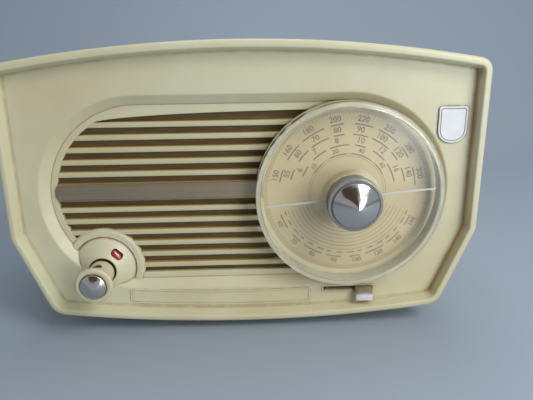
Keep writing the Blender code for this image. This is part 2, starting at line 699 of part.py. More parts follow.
def tuning_disc(axis):
    """The clear cup with its pointer line, grip, cap and shaft, on one axis."""
    back = DISC_FRONT + DISC_REACH
    inner = DISC_RADIUS - DISC_WALL
    centre = (DISC_RADIUS - DISC_ROUNDING, DISC_FRONT + DISC_ROUNDING)
    small = DISC_ROUNDING - DISC_WALL
    profile = [(BORE_RADIUS, DISC_FRONT)]
    profile += arc(centre, DISC_ROUNDING, -pi / 2, 0.0, 4)
    profile += [(DISC_RADIUS, back - DISC_WALL / 2), (DISC_RADIUS - DISC_WALL / 2, back), (inner, back)]
    profile += arc(centre, small, 0.0, -pi / 2, 2)
    profile += [(BORE_RADIUS, DISC_FRONT + DISC_WALL)]
    add_object("dial_disc", turned(profile, 44), CLEAR, parent=axis)
    line_front = DISC_FRONT + DISC_WALL + GAP
    line_back = line_front + POINTER_THICKNESS
    eye_radius = HUB_RADIUS + POINTER_WIDTH
    eye = turned([(BORE_RADIUS + GAP, line_front), (eye_radius, line_front),
                  (eye_radius, line_back), (BORE_RADIUS + GAP, line_back)], 24)
    pointer = add_object("dial_pointer", eye, WHITE, parent=axis)
    bars = bmesh.new()
    reach = SCALE_RADIUS - POINTER_WIDTH
    for side in (-1, 1):
        block((min(side * HUB_RADIUS, side * reach), line_front, -POINTER_WIDTH / 2),
              (max(side * HUB_RADIUS, side * reach), line_back, POINTER_WIDTH / 2), bars)
    bmesh.ops.rotate(bars, verts=bars.verts, matrix=Matrix.Rotation(-POINTER_TILT, 3, 'Y'))
    combine(pointer, add_cutter("pointer_bars", bars, DIAL_ORIGIN), 'UNION')
    grip_back = DISC_FRONT - GAP
    blind = GRIP_FRONT + GRIP_LENGTH / 3
    edge = GRIP_LENGTH / 8
    profile = [(0.0, blind), (BORE_RADIUS, blind), (BORE_RADIUS, grip_back), (COLLAR_RADIUS, grip_back),
               (COLLAR_RADIUS, grip_back - edge), (GRIP_RADIUS, grip_back - 2 * edge),
               (GRIP_RADIUS - edge / 2, GRIP_FRONT), (0.0, GRIP_FRONT)]
    add_object("tuning_grip", turned(profile, 32), SMOKE, parent=axis)
    base = GRIP_FRONT - GAP
    profile = [(0.0, base), (TUNING_CAP_RADIUS, base), (TUNING_CAP_RADIUS, base - CAP_EDGE),
               (CAP_TIP_RADIUS, TUNING_TIP + CAP_TIP_ROUNDING), (0.0, TUNING_TIP)]
    add_object("tuning_cap", turned(profile, 32), CHROME, parent=axis)
    end = GANG_FRONT + GANG_LENGTH + WALL
    add_object("tuning_shaft", rod(SHAFT_RADIUS, blind + GAP, end, 12), STEEL, parent=axis)


def dial_scale():
    """The printed scale plate on the blank right end of the grille."""
    front = GRILLE_DEPTH - GAP - SCALE_THICKNESS
    back = front + SCALE_THICKNESS
    bore = BORE_RADIUS + GAP
    profile = [(bore, front), (SCALE_RADIUS, front), (SCALE_RADIUS, back), (bore, back)]
    add_object("dial_scale", turned(profile, 40), SCALE, DIAL_ORIGIN)


def half_ring(inner, outer, upper):
    """Outline of a half ring above or below the dial axis."""
    start = 0.0 if upper else pi
    outside = arc((0.0, 0.0), outer, start, start + pi, 8)
    inside = arc((0.0, 0.0), inner, start + pi, start, 4)
    return outside + inside


def tuning_gang(axis):
    """The tuning capacitor: a bracket, a rotor on the shaft and a stator between its vanes."""
    sheet = CHASSIS_THICKNESS
    rear = GANG_FRONT + GANG_LENGTH
    top = DIAL_Z + GANG_HEADROOM
    outline = [(GANG_FRONT, STANDING_Z), (rear, STANDING_Z), (rear, top), (rear - sheet, top),
               (rear - sheet, STANDING_Z + sheet), (GANG_FRONT + sheet, STANDING_Z + sheet),
               (GANG_FRONT + sheet, top), (GANG_FRONT, top)]
    bracket = side_prism(outline, DIAL_X - GANG_HALF_WIDTH, DIAL_X + GANG_HALF_WIDTH)
    bracket = add_object("gang_frame", bracket, STEEL)
    bore = rod(BORE_RADIUS, GANG_FRONT - WALL, rear + WALL)
    combine(bracket, add_cutter("gang_bore", bore, DIAL_ORIGIN))
    first = (GANG_FRONT + rear) / 2 - VANE_PITCH * (VANE_COUNT - 1) / 2
    last = first + VANE_PITCH * (VANE_COUNT - 1)
    hub_front = first - VANE_PITCH / 2
    hub_back = last + VANE_PITCH / 2
    hub = turned([(BORE_RADIUS, hub_front), (HUB_RADIUS, hub_front), (HUB_RADIUS, hub_back),
                  (BORE_RADIUS, hub_back)], 16)
    rotor = add_object("gang_rotor", hub, ALUMINIUM, parent=axis)
    vanes = bmesh.new()
    plates = bmesh.new()
    bore_side = (BORE_RADIUS + HUB_RADIUS) / 2
    clear = HUB_RADIUS + VANE_PITCH / 2
    bar = STATOR_BAR
    for i in range(VANE_COUNT):
        middle = first + VANE_PITCH * i
        prism(half_ring(bore_side, VANE_RADIUS, False), middle - VANE_THICKNESS / 2,
              middle + VANE_THICKNESS / 2, vanes)
        if i < VANE_COUNT - 1:
            between = middle + VANE_PITCH / 2
            prism(half_ring(clear, GANG_HALF_WIDTH - bar / 2, True), between - VANE_THICKNESS / 2,
                  between + VANE_THICKNESS / 2, plates)
    combine(rotor, add_cutter("rotor_vanes", vanes, DIAL_ORIGIN), 'UNION')
    bars = block((-bar / 2, GANG_FRONT + sheet + GAP, GANG_HALF_WIDTH - bar),
                 (bar / 2, rear - sheet - GAP, GANG_HALF_WIDTH - STATOR_EDGE))
    stator = add_object("gang_stator", bars, ALUMINIUM, DIAL_ORIGIN)
    combine(stator, add_cutter("stator_plates", plates, DIAL_ORIGIN), 'UNION')


def volume_control(axis):
    """Knob, cap, set screw, shaft and red indicator on one axis, and the fixed potentiometer."""
    blind = KNOB_FRONT + KNOB_WALL
    profile = [(0.0, blind), (BORE_RADIUS, blind), (BORE_RADIUS, KNOB_BACK),
               (KNOB_NECK_RADIUS, KNOB_BACK), (KNOB_RADIUS, KNOB_FRONT + KNOB_EDGE),
               (KNOB_RADIUS - KNOB_EDGE / 2, KNOB_FRONT), (0.0, KNOB_FRONT)]
    knob = add_object("volume_knob", turned(profile, 28), CREAM, parent=axis)
    screw_depth = KNOB_BACK - SET_SCREW_SETBACK
    place = (0.0, screw_depth)
    hole = rod(SET_SCREW_RADIUS + RUNNING_GAP, 0.0, KNOB_RADIUS + WALL, 14, place, True)
    combine(knob, add_cutter("set_screw_hole", hole, VOLUME_ORIGIN))
    grub = rod(SET_SCREW_RADIUS, BORE_RADIUS, KNOB_NECK_RADIUS - SET_SCREW_SINK, 14, place, True)
    add_object("volume_set_screw", grub, STEEL, parent=axis)
    base = KNOB_FRONT - GAP
    tip = base - VOLUME_CAP_LENGTH
    profile = [(0.0, base), (VOLUME_CAP_RADIUS, base), (VOLUME_CAP_RADIUS, base - CAP_EDGE),
               (CAP_TIP_RADIUS, tip + CAP_TIP_ROUNDING), (0.0, tip)]
    add_object("volume_cap", turned(profile, 32), CHROME, parent=axis)
    slope = (CONE_FOOT - CONE_TOP) / (CONE_BASE_RADIUS - CONE_TOP_RADIUS)
    collar = KNOB_NECK_RADIUS
    rim = CONE_BASE_RADIUS - WALL
    front = CONE_TOP + CONE_WALL + slope * (collar - CONE_TOP_RADIUS) + INDICATOR_CLEARANCE
    rim_front = front + slope * (rim - collar)
    sheet = INDICATOR_THICKNESS
    profile = [(BORE_RADIUS, front), (collar, front), (rim, rim_front), (rim, rim_front + sheet),
               (collar, front + sheet), (BORE_RADIUS, front + sheet)]
    add_object("volume_indicator", turned(profile, 24), RED, parent=axis)
    bracket_front = CHASSIS_FRONT + WALL
    sheet = CHASSIS_THICKNESS
    top = VOLUME_Z + POT_RADIUS + WALL
    bracket_end = bracket_front + POT_LENGTH
    floor = STANDING_Z + sheet
    outline = [(bracket_front, STANDING_Z), (bracket_end, STANDING_Z), (bracket_end, floor),
               (bracket_front + sheet, floor), (bracket_front + sheet, top), (bracket_front, top)]
    bracket = side_prism(outline, VOLUME_X - POT_RADIUS - WALL, VOLUME_X + POT_RADIUS + WALL)
    bracket = add_object("pot_bracket", bracket, STEEL)
    bush = HUB_RADIUS
    combine(bracket, add_cutter("pot_hole", rod(bush + GAP, 0.0, CASE_DEPTH / 2), VOLUME_ORIGIN))
    body_front = bracket_front + sheet + GAP
    body_back = body_front + POT_LENGTH
    bush_front = bracket_front - 2 * WALL
    shaft_end = body_back - WALL
    profile = [(0.0, shaft_end), (BORE_RADIUS, shaft_end), (BORE_RADIUS, bush_front), (bush, bush_front),
               (bush, body_front), (POT_RADIUS, body_front), (POT_RADIUS, body_back), (0.0, body_back)]
    add_object("volume_pot", turned(profile, 16), STEEL, VOLUME_ORIGIN)
    nut_back = bracket_front - GAP
    nut_bore = (bush + GAP) / cos(pi / 6)
    nut = turned([(nut_bore, nut_back - WALL), (nut_bore + WALL, nut_back - WALL),
                  (nut_bore + WALL, nut_back), (nut_bore, nut_back)], 6)
    add_object("pot_nut", nut, BRASS, VOLUME_ORIGIN)
    add_object("volume_shaft", rod(SHAFT_RADIUS, blind + GAP, shaft_end - GAP, 12), STEEL, parent=axis)


def band_switch(track):
    """The sliding lever in the panel's slot and the switch that its tongue runs in."""
    half = TONGUE_THICKNESS / 2
    tab_back = PANEL_DEPTH - TAB_CLEARANCE
    tongue_end = CHASSIS_FRONT - 2 * WALL
    outline = [(TAB_FRONT, -TAB_DROP), (TAB_FRONT, -half), (tab_back, half), (tongue_end, half),
               (tongue_end, -half), (tab_back, -half), (tab_back - TAB_TAPER, -TAB_DROP / 2),
               (tab_back - 2 * TAB_TAPER, -TAB_DROP)]
    add_object("band_lever", side_prism(outline, 0.0, LEVER_WIDTH), CREAM, parent=track)
    front = GRILLE_DEPTH + 2 * SLOT_OPENING - GRILLE_THICKNESS / 2
    middle = LEVER_X + (LEVER_WIDTH - LEVER_TRAVEL) / 2
    low = CHASSIS_Z - CHASSIS_SKIRT + SWITCH_CLEARANCE
    high = DISH_Z - GRILLE_RADIUS - 2 * SWITCH_CLEARANCE
    body = block((middle - SWITCH_LENGTH / 2, front, low),
                 (middle + SWITCH_LENGTH / 2, CHASSIS_FRONT - GAP, high))
    body = add_object("band_switch", body, BOARD)
    side = (LEVER_WIDTH + LEVER_TRAVEL) / 2 + 2 * RUNNING_GAP
    channel = block((middle - side, front - WALL, LEVER_Z - half - RUNNING_GAP),
                    (middle + side, tongue_end + RUNNING_GAP, LEVER_Z + half + RUNNING_GAP))
    combine(body, add_cutter("switch_channel", channel))


def speaker(axis):
    """Basket, magnet and moving cone behind the baffle board."""
    sheet = BASKET_SHEET
    front = BOARD_BACK + GAP
    throat_front = front + BASKET_DEPTH
    throat_back = throat_front + 4 * sheet
    pole = BASKET_THROAT / 2
    profile = [(SPEAKER_RADIUS, front), (SPEAKER_RADIUS, front + sheet),
               (SPEAKER_HOLE + 2 * sheet, front + sheet), (BASKET_THROAT + sheet, throat_front),
               (BASKET_THROAT + sheet, throat_back), (pole, throat_back), (pole, throat_back - sheet),
               (BASKET_THROAT, throat_back - sheet), (BASKET_THROAT, throat_front),
               (SPEAKER_HOLE + sheet, front)]
    add_object("speaker_frame", turned(profile, 24), STEEL, SPEAKER_ORIGIN)
    seat = throat_back + GAP
    magnet = rod(MAGNET_RADIUS, seat, seat + MAGNET_LENGTH, 28)
    add_object("speaker_magnet", magnet, DARK, SPEAKER_ORIGIN)
    clear = 2 * CONE_TRAVEL
    paper = CONE_PAPER
    mouth = SPEAKER_HOLE - clear
    neck = BASKET_THROAT / 2 + CONE_NECK_MARGIN
    back = throat_front - clear
    profile = [(0.0, back - 2 * clear), (neck / 2, back - 1.5 * clear), (neck, back - paper),
               (mouth - sheet, front + clear), (mouth, front + clear), (mouth, front + clear + paper),
               (neck + paper, back + paper), (neck, back + clear / 2), (0.0, back + clear / 2)]
    add_object("speaker_cone", turned(profile, 24), PAPER, parent=axis)


def chassis():
    """The folded tray and the screws that hold it on the cabinet's rails."""
    low = CHASSIS_Z - CHASSIS_THICKNESS
    rear = CHASSIS_REAR
    tray = block((-CHASSIS_HALF_WIDTH, CHASSIS_FRONT, low), (CHASSIS_HALF_WIDTH, rear, CHASSIS_Z))
    tray = add_object("chassis", tray, STEEL)
    skirts = bmesh.new()
    half = RAIL_X - RAIL_WIDTH / 2 - SKIRT_CLEARANCE
    bottom = CHASSIS_Z - CHASSIS_SKIRT
    middle = CHASSIS_Z - CHASSIS_THICKNESS / 2
    for front in (CHASSIS_FRONT + SKIRT_INSET, rear - CHASSIS_THICKNESS - SKIRT_INSET):
        block((-half, front, bottom), (half, front + CHASSIS_THICKNESS, middle), skirts)
    combine(tray, add_cutter("chassis_skirts", skirts), 'UNION')
    holes = bmesh.new()
    for x, depth in chassis_screws():
        ring = circle((x, depth), SCREW_RADIUS + RUNNING_GAP)
        loft([[(a, b, low - WALL) for a, b in ring], [(a, b, CHASSIS_Z + WALL) for a, b in ring]], holes)
    combine(tray, add_cutter("chassis_holes", holes))
    for i, place in enumerate(chassis_screws(), 1):
        made = screw(bottom + SKIRT_CLEARANCE, STANDING_Z, STANDING_Z + SCREW_HEAD, True, place)
        add_object(f"chassis_screw_{i}", made, STEEL)


def chassis_parts():
    """Valves in their sockets, screening cans, transformer, smoothing can and dropper."""
    base = STANDING_Z + SOCKET_HEIGHT + GAP
    top = base + VALVE_HEIGHT
    dome = VALVE_RADIUS
    for i, x in enumerate(VALVE_XS, 1):
        place = (x, VALVE_DEPTH)
        ring = turned([(SOCKET_RADIUS / 3, STANDING_Z), (SOCKET_RADIUS, STANDING_Z),
                       (SOCKET_RADIUS, STANDING_Z + SOCKET_HEIGHT),
                       (SOCKET_RADIUS / 3, STANDING_Z + SOCKET_HEIGHT)], 12, True, place)
        add_object(f"valve_socket_{i}", ring, DARK)
        profile = [(0.0, base), (VALVE_RADIUS, base)]
        profile += arc((0.0, top - dome), VALVE_RADIUS, 0.0, radians(70), 3)
        profile += [(0.0, top)]
        add_object(f"valve_{i}", turned(profile, 12, True, place), GLASS)
    half = CAN_SIZE / 2
    for i, (x, depth) in enumerate(CAN_PLACES, 1):
        can = block((x - half, depth - half, STANDING_Z),
                    (x + half, depth + half, STANDING_Z + CAN_HEIGHT))
        add_object(f"if_can_{i}", can, ALUMINIUM)
    half = TRANSFORMER_WIDTH / 2
    rear = VALVE_DEPTH - SOCKET_RADIUS - WALL
    core = block((SPEAKER_X - half, rear - TRANSFORMER_LENGTH, STANDING_Z),
                 (SPEAKER_X + half, rear, STANDING_Z + TRANSFORMER_HEIGHT))
    add_object("output_transformer", core, DARK)
    behind_gang = GANG_FRONT + GANG_LENGTH + WALL / 2
    place = (CHASSIS_HALF_WIDTH - SMOOTHING_RADIUS, behind_gang + SMOOTHING_RADIUS)
    can = rod(SMOOTHING_RADIUS, STANDING_Z, STANDING_Z + CAN_HEIGHT, 24, place, True)
    add_object("smoothing_can", can, ALUMINIUM)
    x, depth = CAN_PLACES[1]
    place = (x, depth - CAN_SIZE / 2 - DROPPER_RADIUS - WALL / 2)
    tube = rod(DROPPER_RADIUS, STANDING_Z, STANDING_Z + CAN_HEIGHT, 20, place, True)
    add_object("dropper_resistor", tube, CERAMIC)


def back_cover():
    """The vented fibreboard back, its screws, the aerial sockets and the cord grommet."""
    front = BACK_FACE - BACK_THICKNESS
    inset = WALL + BACK_CLEARANCE
    board = loft([case_ring(front, inset), case_ring(BACK_FACE, inset)])
    board = add_object("back_cover", board, BOARD)
    holes = bmesh.new()
    ahead = front - WALL
    behind = CASE_DEPTH
    for z in (DISH_Z - 4 * VENT_WIDTH, DISH_Z + 7 * VENT_WIDTH):
        for i in range(VENT_COUNT):
            x = VENT_PITCH * (i - (VENT_COUNT - 1) / 2)
            prism(capsule(5 * VENT_WIDTH, VENT_WIDTH, pi / 2, (x, z), 2), ahead, behind, holes)
    for place in BACK_SCREWS:
        prism(circle(place, SCREW_RADIUS + RUNNING_GAP), ahead, behind, holes)
    prism(circle(GROMMET_PLACE, GROMMET_SLEEVE + GAP, 20), ahead, behind, holes)
    x, z = AERIAL_PLACE
    sockets = [(x + side * AERIAL_LENGTH / 4, z) for side in (-1, 1)]
    strip_holes = bmesh.new()
    for place in sockets:
        for bm in (holes, strip_holes):
            prism(circle(place, AERIAL_SOCKET, 16), ahead, behind, bm)
    combine(board, add_cutter("back_holes", holes))
    outside = BACK_FACE + GAP
    for i, place in enumerate(BACK_SCREWS, 1):
        made = screw(front - POST_SIZE, outside, outside + SCREW_HEAD, place=place)
        add_object(f"back_screw_{i}", made, STEEL)
    strip = block((x - AERIAL_LENGTH / 2, outside, z - AERIAL_HEIGHT / 2),
                  (x + AERIAL_LENGTH / 2, outside + SCREW_HEAD, z + AERIAL_HEIGHT / 2))
    strip = add_object("aerial_socket_strip", strip, DARK)
    combine(strip, add_cutter("aerial_holes", strip_holes))
    profile = [(GROMMET_BORE, front - WALL), (GROMMET_SLEEVE, front - WALL), (GROMMET_SLEEVE, outside),
               (GROMMET_RADIUS, outside), (GROMMET_RADIUS - GROMMET_EDGE, outside + SCREW_HEAD),
               (GROMMET_BORE, outside + SCREW_HEAD)]
    add_object("cord_grommet", turned(profile, 16, place=GROMMET_PLACE), RUBBER)


def feet():
    """Four rubber feet under the moulded pads."""
    profile = [(0.0, 0.0), (FOOT_RADIUS - FOOT_EDGE, 0.0), (FOOT_RADIUS, FOOT_HEIGHT / 3),
               (FOOT_RADIUS, FOOT_HEIGHT), (0.0, FOOT_HEIGHT)]
    names = (("front_left", -1, 0), ("front_right", 1, 0), ("rear_left", -1, 1), ("rear_right", 1, 1))
    for name, side, row in names:
        place = (side * FOOT_X, FOOT_DEPTHS[row])
        add_object(f"foot_{name}", turned(profile, 20, True, place), RUBBER)


for old in list(bpy.data.objects):
    bpy.data.objects.remove(old, do_unlink=True)

CREAM = material("cream", (0.80, 0.72, 0.55), 0.35)
GILT = material("gilt", (0.72, 0.60, 0.38), 0.35, 1.0)
CHROME = material("chrome", (0.78, 0.77, 0.76), 0.08, 1.0)
CLEAR = material("clear", (0.85, 0.83, 0.74), 0.08)
SMOKE = material("smoke", (0.45, 0.43, 0.38), 0.2)
WHITE = material("white", (0.92, 0.92, 0.88), 0.4)
SCALE = material("scale", (0.62, 0.53, 0.33), 0.5)
RED = material("red", (0.55, 0.05, 0.04), 0.3)
CLOTH = material("cloth", (0.30, 0.20, 0.10), 0.9)
BOARD = material("board", (0.28, 0.17, 0.09), 0.8)
STEEL = material("steel", (0.55, 0.55, 0.53), 0.4, 1.0)
ALUMINIUM = material("aluminium", (0.75, 0.75, 0.74), 0.35, 1.0)
BRASS = material("brass", (0.70, 0.55, 0.25), 0.35, 1.0)
DARK = material("dark", (0.06, 0.05, 0.05), 0.5)
PAPER = material("paper", (0.20, 0.18, 0.16), 0.9)
CERAMIC = material("ceramic", (0.60, 0.52, 0.42), 0.6)
GLASS = material("glass", (0.75, 0.75, 0.75), 0.05)
RUBBER = material("rubber", (0.05, 0.04, 0.04), 0.8)

tuning_axis = axis_empty("tuning_axis", DIAL_ORIGIN)
volume_axis = axis_empty("volume_axis", VOLUME_ORIGIN)
lever_track = axis_empty("lever_track", LEVER_ORIGIN)
speaker_axis = axis_empty("speaker_axis", SPEAKER_ORIGIN)

cabinet()
grille()
grille_strip()
badge_plate()
cloth_and_board()
dial_scale()
tuning_disc(tuning_axis)
tuning_gang(tuning_axis)
volume_control(volume_axis)
band_switch(lever_track)
speaker(speaker_axis)
chassis()
chassis_parts()
back_cover()
feet()
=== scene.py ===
"""Looks of a cream table radio: a louvre grille, a clear tuning disc, two knobs and a vented back.

The file is laid out as an add-on. Its operators dress the solid model piece by piece, each on the
body that carries it. Lengths are in metres; depths run from the front rim to the back.
"""

from math import asin, atan2, cos, hypot, pi, radians, sin, sqrt, tan

import bmesh
import bpy
from mathutils import Matrix, Vector


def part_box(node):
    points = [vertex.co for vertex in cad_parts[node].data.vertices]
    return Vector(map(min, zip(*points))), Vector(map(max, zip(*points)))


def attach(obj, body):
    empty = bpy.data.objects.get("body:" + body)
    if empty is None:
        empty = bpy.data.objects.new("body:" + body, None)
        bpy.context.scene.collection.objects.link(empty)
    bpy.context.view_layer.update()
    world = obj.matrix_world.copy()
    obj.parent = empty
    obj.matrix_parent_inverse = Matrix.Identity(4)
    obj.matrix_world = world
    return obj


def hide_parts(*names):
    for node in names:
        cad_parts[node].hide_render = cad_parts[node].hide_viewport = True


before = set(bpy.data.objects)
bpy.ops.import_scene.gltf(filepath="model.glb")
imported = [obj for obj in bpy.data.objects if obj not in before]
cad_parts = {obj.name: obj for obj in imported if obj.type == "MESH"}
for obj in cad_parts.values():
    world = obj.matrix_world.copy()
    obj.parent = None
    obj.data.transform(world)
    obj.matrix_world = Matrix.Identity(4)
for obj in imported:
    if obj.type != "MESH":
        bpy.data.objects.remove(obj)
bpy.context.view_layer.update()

bl_info = {
    "name": "Table Radio Looks",
    "version": (1, 0, 0),
    "blender": (4, 5, 0),
    "location": "3D View > Sidebar > Radio",
    "description": "Builds the shown surfaces of a cream table radio around its solid model",
    "category": "Object",
}

MM = 0.001
CASE_LOW, CASE_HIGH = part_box("cabinet")
FRONT_Y = CASE_LOW.y
DIAL_LOW, DIAL_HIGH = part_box("dial_scale")
DIAL = ((DIAL_LOW.x + DIAL_HIGH.x) / 2, (DIAL_LOW.z + DIAL_HIGH.z) / 2)
SHAFT_LOW, SHAFT_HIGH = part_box("volume_shaft")
VOLUME = ((SHAFT_LOW.x + SHAFT_HIGH.x) / 2, (SHAFT_LOW.z + SHAFT_HIGH.z) / 2)
STRIP_LOW, STRIP_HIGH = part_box("grille_strip")
BADGE_LOW, BADGE_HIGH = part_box("badge_plate")
LEVER_LOW, LEVER_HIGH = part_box("band_lever")
LEVER_TRAVEL = 20.0 * MM
FEET = ("foot_front_left", "foot_front_right", "foot_rear_left", "foot_rear_right")
# Edges that turn by less than this many degrees are shaded smooth.
SMOOTH_BELOW = 32
SMOOTH_CLEAR = 50
# Points closer than this count as one.
NEAR_NOTHING = 0.001 * MM


def length(name, description, millimetres):
    """A length setting, given in millimetres and held in metres."""
    return bpy.props.FloatProperty(name=name, description=description, default=millimetres * MM,
                                   unit='LENGTH', subtype='DISTANCE', precision=5)


def share(name, description, value):
    """A plain number from nought to one."""
    return bpy.props.FloatProperty(name=name, description=description, default=value, min=0.0,
                                   max=1.0, subtype='FACTOR')


def colour(name, description, value):
    """A colour setting."""
    return bpy.props.FloatVectorProperty(name=name, description=description, default=(*value, 1.0),
                                         size=4, min=0.0, max=1.0, subtype='COLOR')


class CaseSizes(bpy.types.PropertyGroup):
    """The moulded case."""
    half_width: length("Half width", "Half of the front's width", CASE_HIGH.x / MM)
    depth: length("Depth", "From the rim to the rear edge", (CASE_HIGH.y - FRONT_Y) / MM)
    corner_z: length("Corner height", "Height of the top corners", 166.0)
    crown: length("Crown", "Rise of the top edge over its corners", 12.7)
    side_foot_z: length("Side foot", "Height where the sides turn inwards", 64.0)
    chamfer_run: length("Side turn", "How far the lower sides run inwards", 20.5)
    bottom_z: length("Bottom corner", "Height of the lower corners", 13.2)
    sag: length("Sag", "Drop of the lower edge below its corners", 8.2)
    corner_radius: length("Corner radius", "Radius of the top corners", 8.0)
    turn_radius: length("Turn radius", "Radius of the four lower corners", 12.0)
    rear_wide: share("Rear width", "Width at the rear edge as a share of the front", 0.94)
    rear_tall: share("Rear height", "Height at the rear edge as a share of the front", 0.95)
    rim: length("Rim width", "Width of the raised rim", 4.5)
    rim_rounding: length("Rim rounding", "Radius of the rim's outer edge", 2.6)
    rim_inside: length("Rim inside", "Radius of the rim's inner edge", 1.1)
    draft: length("Draft", "Slope of the wall from the rim to the panel", 2.0)
    panel: length("Panel depth", "Depth of the front panel behind the rim", 7.8)
    corner_fillet: length("Panel fillet", "Radius between that wall and the panel", 0.9)
    wall: length("Wall", "Thickness of the moulding", 2.0)
    pad_radius: length("Pad radius", "Radius of the moulded foot pads", 10.0)


class GrilleSizes(bpy.types.PropertyGroup):
    """The dish in the panel, its louvres and the strip across them."""
    half_length: length("Half length", "Half of the distance between the dish's round ends", 63.0)
    dish_radius: length("Dish radius", "Radius of the dish's ends at the panel", 61.2)
    dish_edge: length("Dish edge", "Reach of the rounding at the dish's edge", 1.2)
    plate_radius: length("Plate radius", "Radius of the plate at the foot of the dish", 55.4)
    plate_depth: length("Plate depth", "Depth of the louvre plate", 12.5)
    field_radius: length("Field radius", "Radius of the ends of the louvre field", 52.2)
    field_right: length("Field end", "Right end of the louvre field", 44.5)
    first_slot: length("First slot", "Height of the top slot's upper edge", 136.3)
    pitch: length("Pitch", "Distance between slots", 7.5)
    opening: length("Opening", "Height of a slot", 4.0)
    top_rise: length("Top rise", "Height of the top slot at its right end", 6.2)
    slat_depth: length("Slat depth", "Depth of a slat from front to back", 3.3)
    slat_rounding: length("Slat rounding", "Radius of a slat's front edges", 0.7)


class DialSizes(bpy.types.PropertyGroup):
    """The clear disc, the scale behind it and the knob on it."""
    disc_radius: length("Disc radius", "Radius of the clear disc", 56.7)
    disc_front: length("Disc front", "Depth of the disc's face", -5.0)
    disc_back: length("Disc back", "Depth of the rear edge of the disc's wall", 8.2)
    disc_wall: length("Disc wall", "Thickness of the disc", 2.6)
    print_depth: length("Print depth", "Depth of the printed face", (DIAL_LOW.y - FRONT_Y) / MM)
    collar_radius: length("Collar radius", "Radius of the collar on the disc", 18.4)
    grip_radius: length("Grip radius", "Radius of the knurled grip", 15.6)
    cap_radius: length("Cap radius", "Radius of the bright cone", 13.4)
    number_height: length("Number height", "Height of the dial's numbers", 3.9)


class VolumeSizes(bpy.types.PropertyGroup):
    """The volume knob and the moulded cone that it stands in."""
    ring_radius: length("Ring radius", "Outer radius of the ring around the cone", 23.8)
    cone_radius: length("Cone radius", "Radius of the cone's foot", 19.5)
    cone_top_radius: length("Cone top radius", "Radius of the cone's mouth", 9.0)
    ring_depth: length("Ring depth", "Depth of the ring's face", 11.8)
    cone_top: length("Cone top", "Depth of the cone's mouth", 4.2)
    window_radius: length("Window radius", "Distance of the window from the shaft", 13.2)
    window_length: length("Window length", "Length of the red window", 8.0)
    window_width: length("Window width", "Width of the red window", 4.4)
    knob_radius: length("Knob radius", "Radius of the knob's front", 11.3)
    neck_radius: length("Neck radius", "Radius of the knob's rear end", 7.6)
    cap_radius: length("Cap radius", "Radius of the bright cone on the knob", 7.5)


class Finishes(bpy.types.PropertyGroup):
    """Colours of the finishes."""
    cream: colour("Cream", "Moulded case", (0.66, 0.635, 0.44))
    cream_aged: colour("Aged cream", "Yellowed patches of the case", (0.60, 0.53, 0.315))
    # Grime, which also paints shade into the case's tight corners; the specks take it too.
    grime: colour("Grime and shade", "Dirt in corners and grooves", (0.21, 0.13, 0.05))
    # In the case's resin this ochre is painted warm shade, in deep hollows and on faces that look up; along
    # the grille's seam it is dirt.
    ochre: colour("Ochre", "Settled smoke and dust in deep hollows", (0.41, 0.29, 0.085))
    # Painted shade: the colour of inner walls that face away from the light.
    brown: colour("Painted lee shade", "Browned inner wall on the side away from the light", (0.42, 0.225, 0.10))
    champagne: colour("Champagne", "Metal strip", (0.47, 0.375, 0.265))
    silver: colour("Silver", "Badge plate", (0.78, 0.80, 0.81))
    scale: colour("Scale", "Dial card", (0.52, 0.435, 0.265))
    cloudy: colour("Cloudy edge", "Thick edge of the clear disc", (0.46, 0.44, 0.345))
    rim: colour("Knob rim", "Pale ring around the tuning cone", (0.25, 0.25, 0.22))
    ink: colour("Ink", "Print on the dial", (0.19, 0.155, 0.10))
    clear: colour("Clear plastic", "Tuning disc and its collar", (0.95, 0.95, 0.92))
    line: colour("Pointer", "Pointer line", (0.46, 0.49, 0.50))
    grip: colour("Grip", "Knurled grip", (0.20, 0.215, 0.225))
    red: colour("Red", "Volume window", (0.34, 0.008, 0.010))
    # Painted shade on the band lever's head.
    lever_dusty: colour("Lever shade", "Dusty head of the band lever", (0.27, 0.22, 0.14))
    # Painted highlight on the band lever's foot.
    lever_pale: colour("Lever foot", "Rubbed foot of the band lever", (0.72, 0.74, 0.76))
    cloth: colour("Cloth", "Speaker cloth", (0.075, 0.045, 0.018))
    cloth_gold: colour("Cloth thread", "Bright threads of the cloth", (0.27, 0.18, 0.07))
    board: colour("Board", "Fibreboard", (0.155, 0.09, 0.045))
    dark: colour("Dark moulding", "Sockets and the badge's line", (0.035, 0.03, 0.028))
    card: colour("Brown card", "Card that the bright cones mirror", (0.34, 0.19, 0.14))
    floor: colour("Floor", "Floor and backdrop", (0.34, 0.40, 0.475))


class RadioSettings(bpy.types.PropertyGroup):
    """All settings of the radio's looks."""
    case: bpy.props.PointerProperty(type=CaseSizes, name="Case", description="Moulded case")
    grille: bpy.props.PointerProperty(type=GrilleSizes, name="Grille", description="Dish and louvres")
    dial: bpy.props.PointerProperty(type=DialSizes, name="Dial", description="Disc, scale and knob")
    volume: bpy.props.PointerProperty(type=VolumeSizes, name="Volume", description="Volume control")
    finish: bpy.props.PointerProperty(type=Finishes, name="Finishes", description="Colours")


class Link:
    """A shader value that sums and products can be written with."""

    def __init__(self, tree, socket):
        self.tree = tree
        self.socket = socket

    def node(self, kind, settings=None, inputs=None, output=0):
        """Add a node of any kind with its settings and inputs, and return one of its outputs."""
        made = self.tree.nodes.new(kind)
        for key, value in (settings or {}).items():
            setattr(made, key, value)
        for key, value in (inputs or {}).items():
            if isinstance(value, Link):
                self.tree.links.new(value.socket, made.inputs[key])
            else:
                made.inputs[key].default_value = value
        return Link(self.tree, made.outputs[output])

    def math(self, operation, first, second):
        return self.node("ShaderNodeMath", {"operation": operation}, {0: first, 1: second})

    def __add__(self, other):
        return self.math('ADD', self, other)

    def __radd__(self, other):
        return self.math('ADD', other, self)

    def __sub__(self, other):
        return self.math('SUBTRACT', self, other)

    def __rsub__(self, other):
        return self.math('SUBTRACT', other, self)

    def __mul__(self, other):
        return self.math('MULTIPLY', self, other)

    def __rmul__(self, other):
        return self.math('MULTIPLY', other, self)


